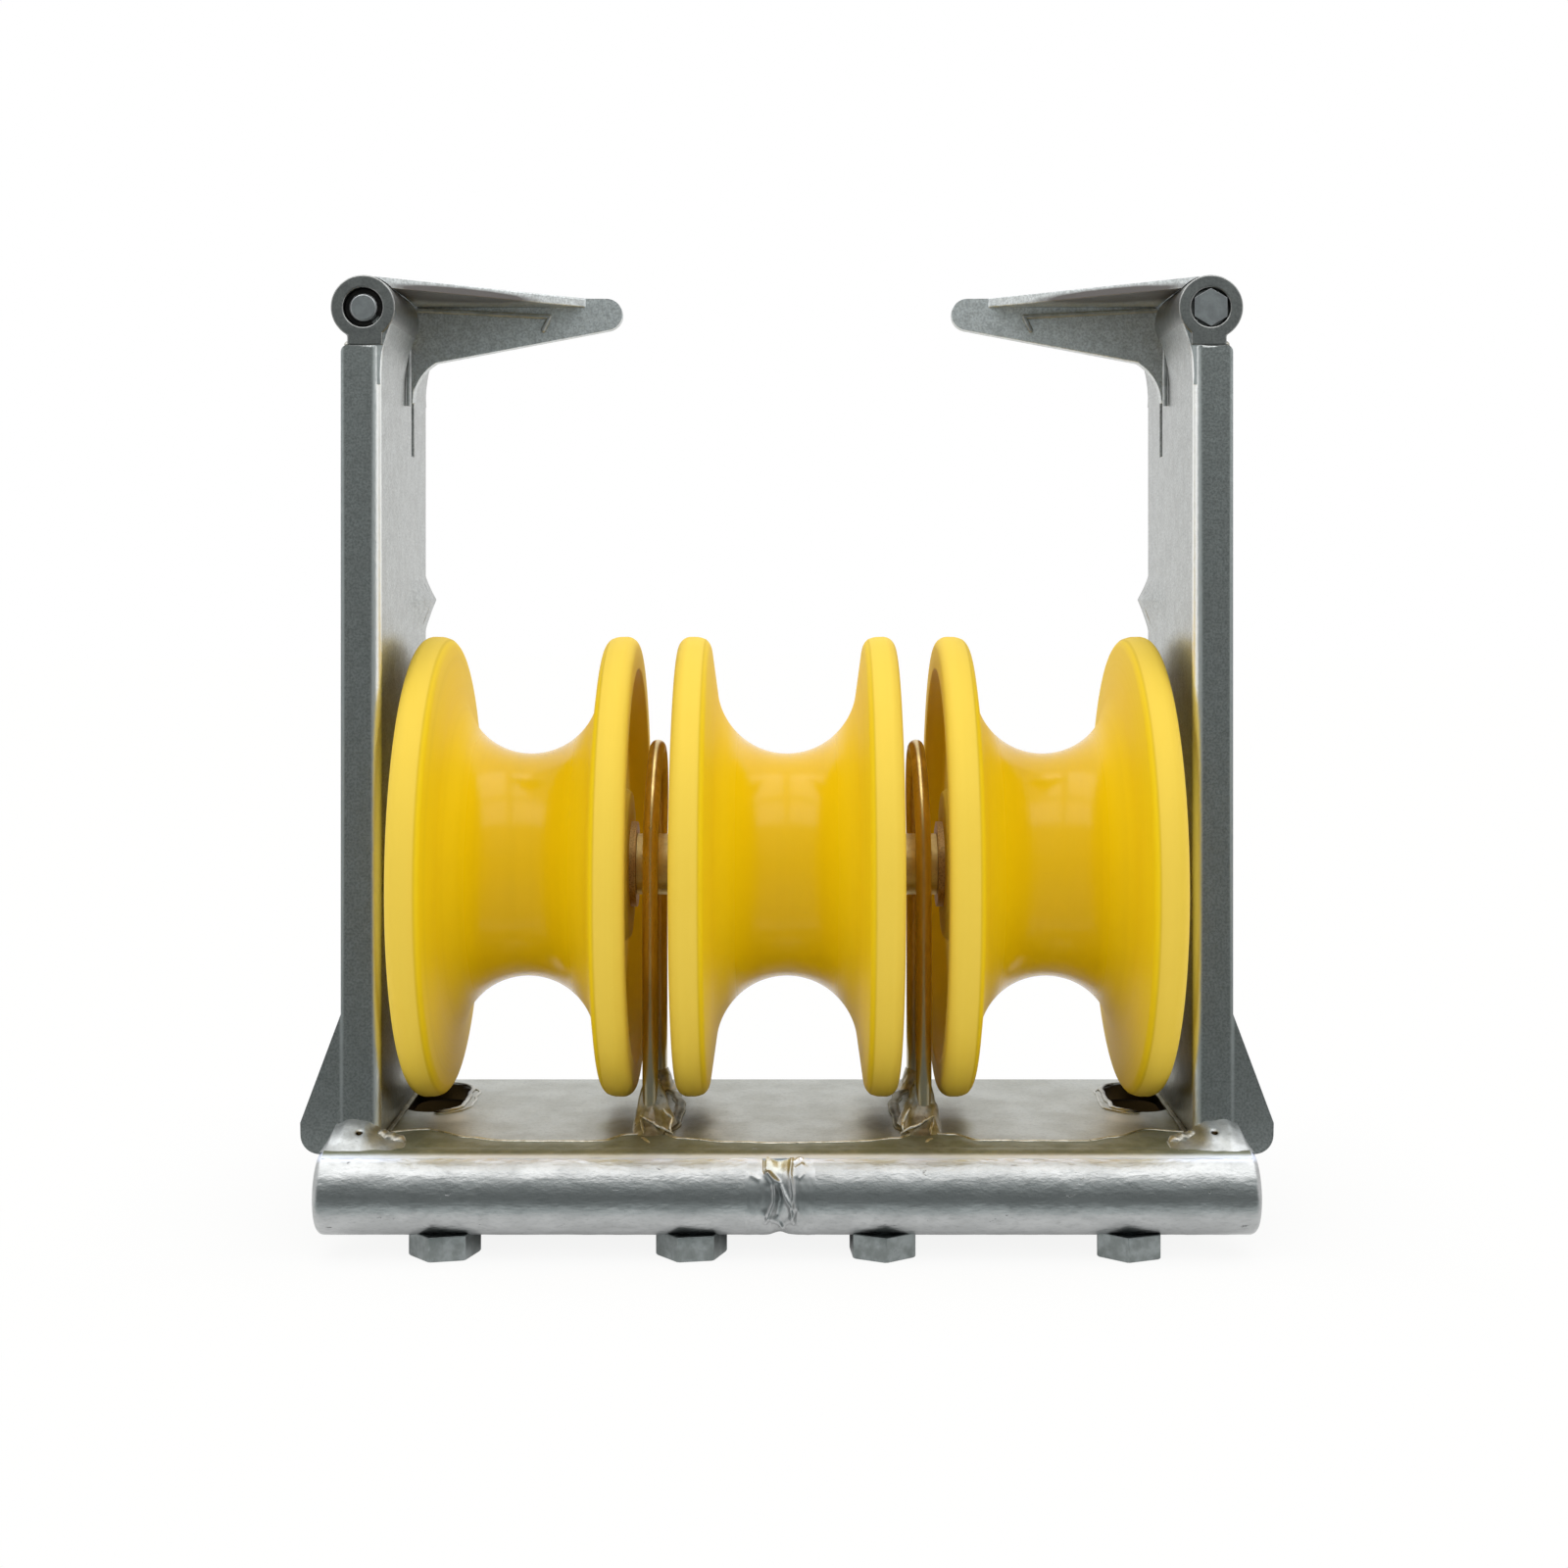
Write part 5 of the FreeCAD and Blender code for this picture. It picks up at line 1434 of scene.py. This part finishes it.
@dataclass
class Studio:
    """Floor, backdrop, soft light and the camera, by lengths in metres."""

    camera_place: Point = (0.0, -0.738, 0.2022)
    lens: float = 51.3
    sensor: float = 36.0
    shift: Pair = (-0.001875, -0.125)
    floor_reach: float = 6.0
    floor_sides: int = 96
    shadow_half: Pair = (0.135, 0.030)
    mirror_half: Pair = (0.140, 0.070)
    room_reach: float = 1.6
    room_turn: float = 52.0
    room_lift: Pair = (0.2, 45.0)
    apron_out: tuple[float, ...] = (0.082, 0.09, 0.10, 0.115, 0.16, 0.4, 0.8, 1.6)
    apron_level: float = 0.0025
    dim: float = 0.18
    fill: float = 0.70
    pane: Pair = (0.78, 0.40)
    pane_level: float = 1.65
    pane_height: float = 0.80
    pane_columns: tuple[tuple[str, float], ...] = (("left", -0.43), ("right", 0.43))
    pane_rows: tuple[tuple[str, float], ...] = (("front", -0.40), ("back", 0.06))

    def staged(self, name: str, points: np.ndarray, faces: Sequence[Sequence[int]],
               finish: Material) -> bpy.types.Object:
        """A mesh that belongs to the studio and not to the block.

        Args:
            name: its name.
            points: n x 3 points.
            faces: the points of each face.
            finish: its material.

        Returns:
            The object.
        """
        mesh = bpy.data.meshes.new(name)
        mesh.from_pydata(points, [], faces)
        mesh.materials.append(finish)
        thing = link(name, mesh)
        return thing

    def floor(self) -> None:
        """Lay a pale floor that is white to the eye and keeps the block's shadow.

        It is a disc: a fan of faces round its middle and a band round the fan.
        """
        shader = Shader("studio_floor")
        across, depth, _ = shader.axes()
        by_eye, by_mirror = ((across.size() - x).top(depth.size() - y)
                             for x, y in (self.shadow_half, self.mirror_half))
        eye = shader.node("ShaderNodeLightPath", output="Is Camera Ray")
        mirror = (eye.twin("Is Glossy Ray") + eye.twin("Is Transmission Ray")).step(0.0, 1.0)
        pale = shader.mix(shader.noise(3.0, 2.0), (0.86, 0.86, 0.855), (0.84, 0.84, 0.835))
        matt = shader.node("ShaderNodeBsdfDiffuse", {"Color": pale})
        white = shader.node("ShaderNodeEmission", {"Color": (1.0, 1.0, 0.995, 1.0)})
        whiten = eye * (by_eye.step(-0.03, 0.0) * 0.88 + by_eye.step(0.0, 0.12) * 0.12) \
            + mirror * by_mirror.step(-0.03, 0.01)
        finish = shader.finish(shader.node("ShaderNodeMixShader", {0: whiten, 1: matt, 2: white}))
        sides = self.floor_sides
        rim = np.pad(arc((0.0, 0.0), 1.0, 0, 360, sides + 1)[:-1], ((0, 0), (0, 1)))
        points = np.concatenate([[[0.0, 0.0, 0.0]], rim * self.floor_reach / 2,
                                 rim * self.floor_reach])
        inner = np.arange(sides) + 1
        outer = inner + sides
        fan = spread(0, inner, np.roll(inner, -1)).tolist()
        band = spread(inner, outer, np.roll(outer, -1), np.roll(inner, -1)).tolist()
        self.staged("floor", points, fan + band, finish)

    def dark_room(self) -> None:
        """Stand a dim glowing shell in front that only reflections see: a painted reflection.

        Its points lie on a sphere round the block, by azimuth and by elevation from the floor up
        to the soft boxes; in front of the bar an apron, by X and Y, carries it on over the floor.
        """
        shader = Shader("dark_room")
        along, depth, up = shader.axes()
        # Its glow is brighter at the gates' height, more so on the right, higher up and over the
        # floor close in front of the bar.
        gates = up.step(0.34, 0.60)
        level = gates * 0.12 + gates * along.step(0.15, 0.40) * 0.10 + up.step(0.5, 1.15) * 0.18 \
            + depth.step(-0.115, -0.084) * 0.55 + self.dim
        tone = shader.mix(level, (0.0, 0.0, 0.0), (0.90, 1.0, 1.0))
        finish = shader.finish(shader.node("ShaderNodeEmission", {"Color": tone}))
        turn = np.radians(np.linspace(-self.room_turn, self.room_turn, 25))
        lift = np.radians(np.linspace(*self.room_lift, 12))[:, None]
        shell = self.room_reach * spread(np.sin(turn) * np.cos(lift), -np.cos(turn) * np.cos(lift),
                                         np.sin(lift))
        out = np.array(self.apron_out)[:, None]
        apron = spread(np.linspace(-1, 1, 25) * (0.16 + 0.75 * out), -out, self.apron_level)
        for name, grid in (("dark_shell", shell), ("dark_apron", apron)):
            index = np.arange(grid[..., 0].size).reshape(grid.shape[:2])
            faces = spread(index[:-1, :-1], index[:-1, 1:], index[1:, 1:], index[1:, :-1])
            card = self.staged(name, grid.reshape(-1, 3), faces.reshape(-1, 4).tolist(), finish)
            for ray in ("camera", "diffuse", "shadow", "transmission"):
                setattr(card, f"visible_{ray}", False)

    def world(self) -> None:
        """White surroundings for the eye and for reflections, and a plain level of fill."""
        shader = Shader("studio_world", "world")
        eye = shader.node("ShaderNodeLightPath", output="Is Camera Ray")
        level = shader.node("ShaderNodeMapRange", {
            "Value": eye.top(eye.twin("Is Glossy Ray")), "To Min": self.fill, "To Max": 1.0})
        bpy.context.scene.world = shader.finish(shader.node("ShaderNodeBackground", {
            "Color": (1.0, 1.0, 1.0, 1.0), "Strength": level}))

    def soft_box(self) -> None:
        """Hang the four panes of the overhead soft box, which face down."""
        for column, x in self.pane_columns:
            for row, y in self.pane_rows:
                name = f"pane_{row}_{column}"
                light = bpy.data.lights.new(name, "AREA")
                light.shape = "RECTANGLE"
                light.size, light.size_y = self.pane
                light.energy = self.pane_level * math.pi * self.pane[0] * self.pane[1]
                link(name, light).location = (x, y, self.pane_height)

    def camera(self) -> None:
        """Stand a level camera in front and set the plain view."""
        lens = bpy.data.cameras.new("photo_camera")
        lens.lens = self.lens
        lens.sensor_width = self.sensor
        lens.shift_x, lens.shift_y = self.shift
        lens.clip_start = 0.01
        camera = link("photo_camera", lens)
        camera.location = self.camera_place
        camera.rotation_euler = (math.pi / 2, 0.0, 0.0)
        bpy.context.scene.camera = camera
        bpy.context.scene.view_settings.view_transform = "Standard"

    def build(self) -> None:
        """Set up the floor, the light and the camera."""
        self.floor()
        self.world()
        self.dark_room()
        self.soft_box()
        self.camera()


def main(solids: Mapping[str, object]) -> None:
    """Build and dress the block, sub-assembly by sub-assembly.
    """
    logging.basicConfig(level=logging.INFO, format="%(name)s: %(message)s")
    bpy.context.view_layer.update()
    log.info("%d nodes loaded", len(solids["nodes"]))
    for part in (Studio(), Rollers(), FrontBar(), Sheetwork(), LugFairings(), SeamWeld(),
                 *map(SideWelds, Side), DividerWires(), *map(Hinge, Side)):
        part.build()


if __name__ == "__main__":
    main(frame)
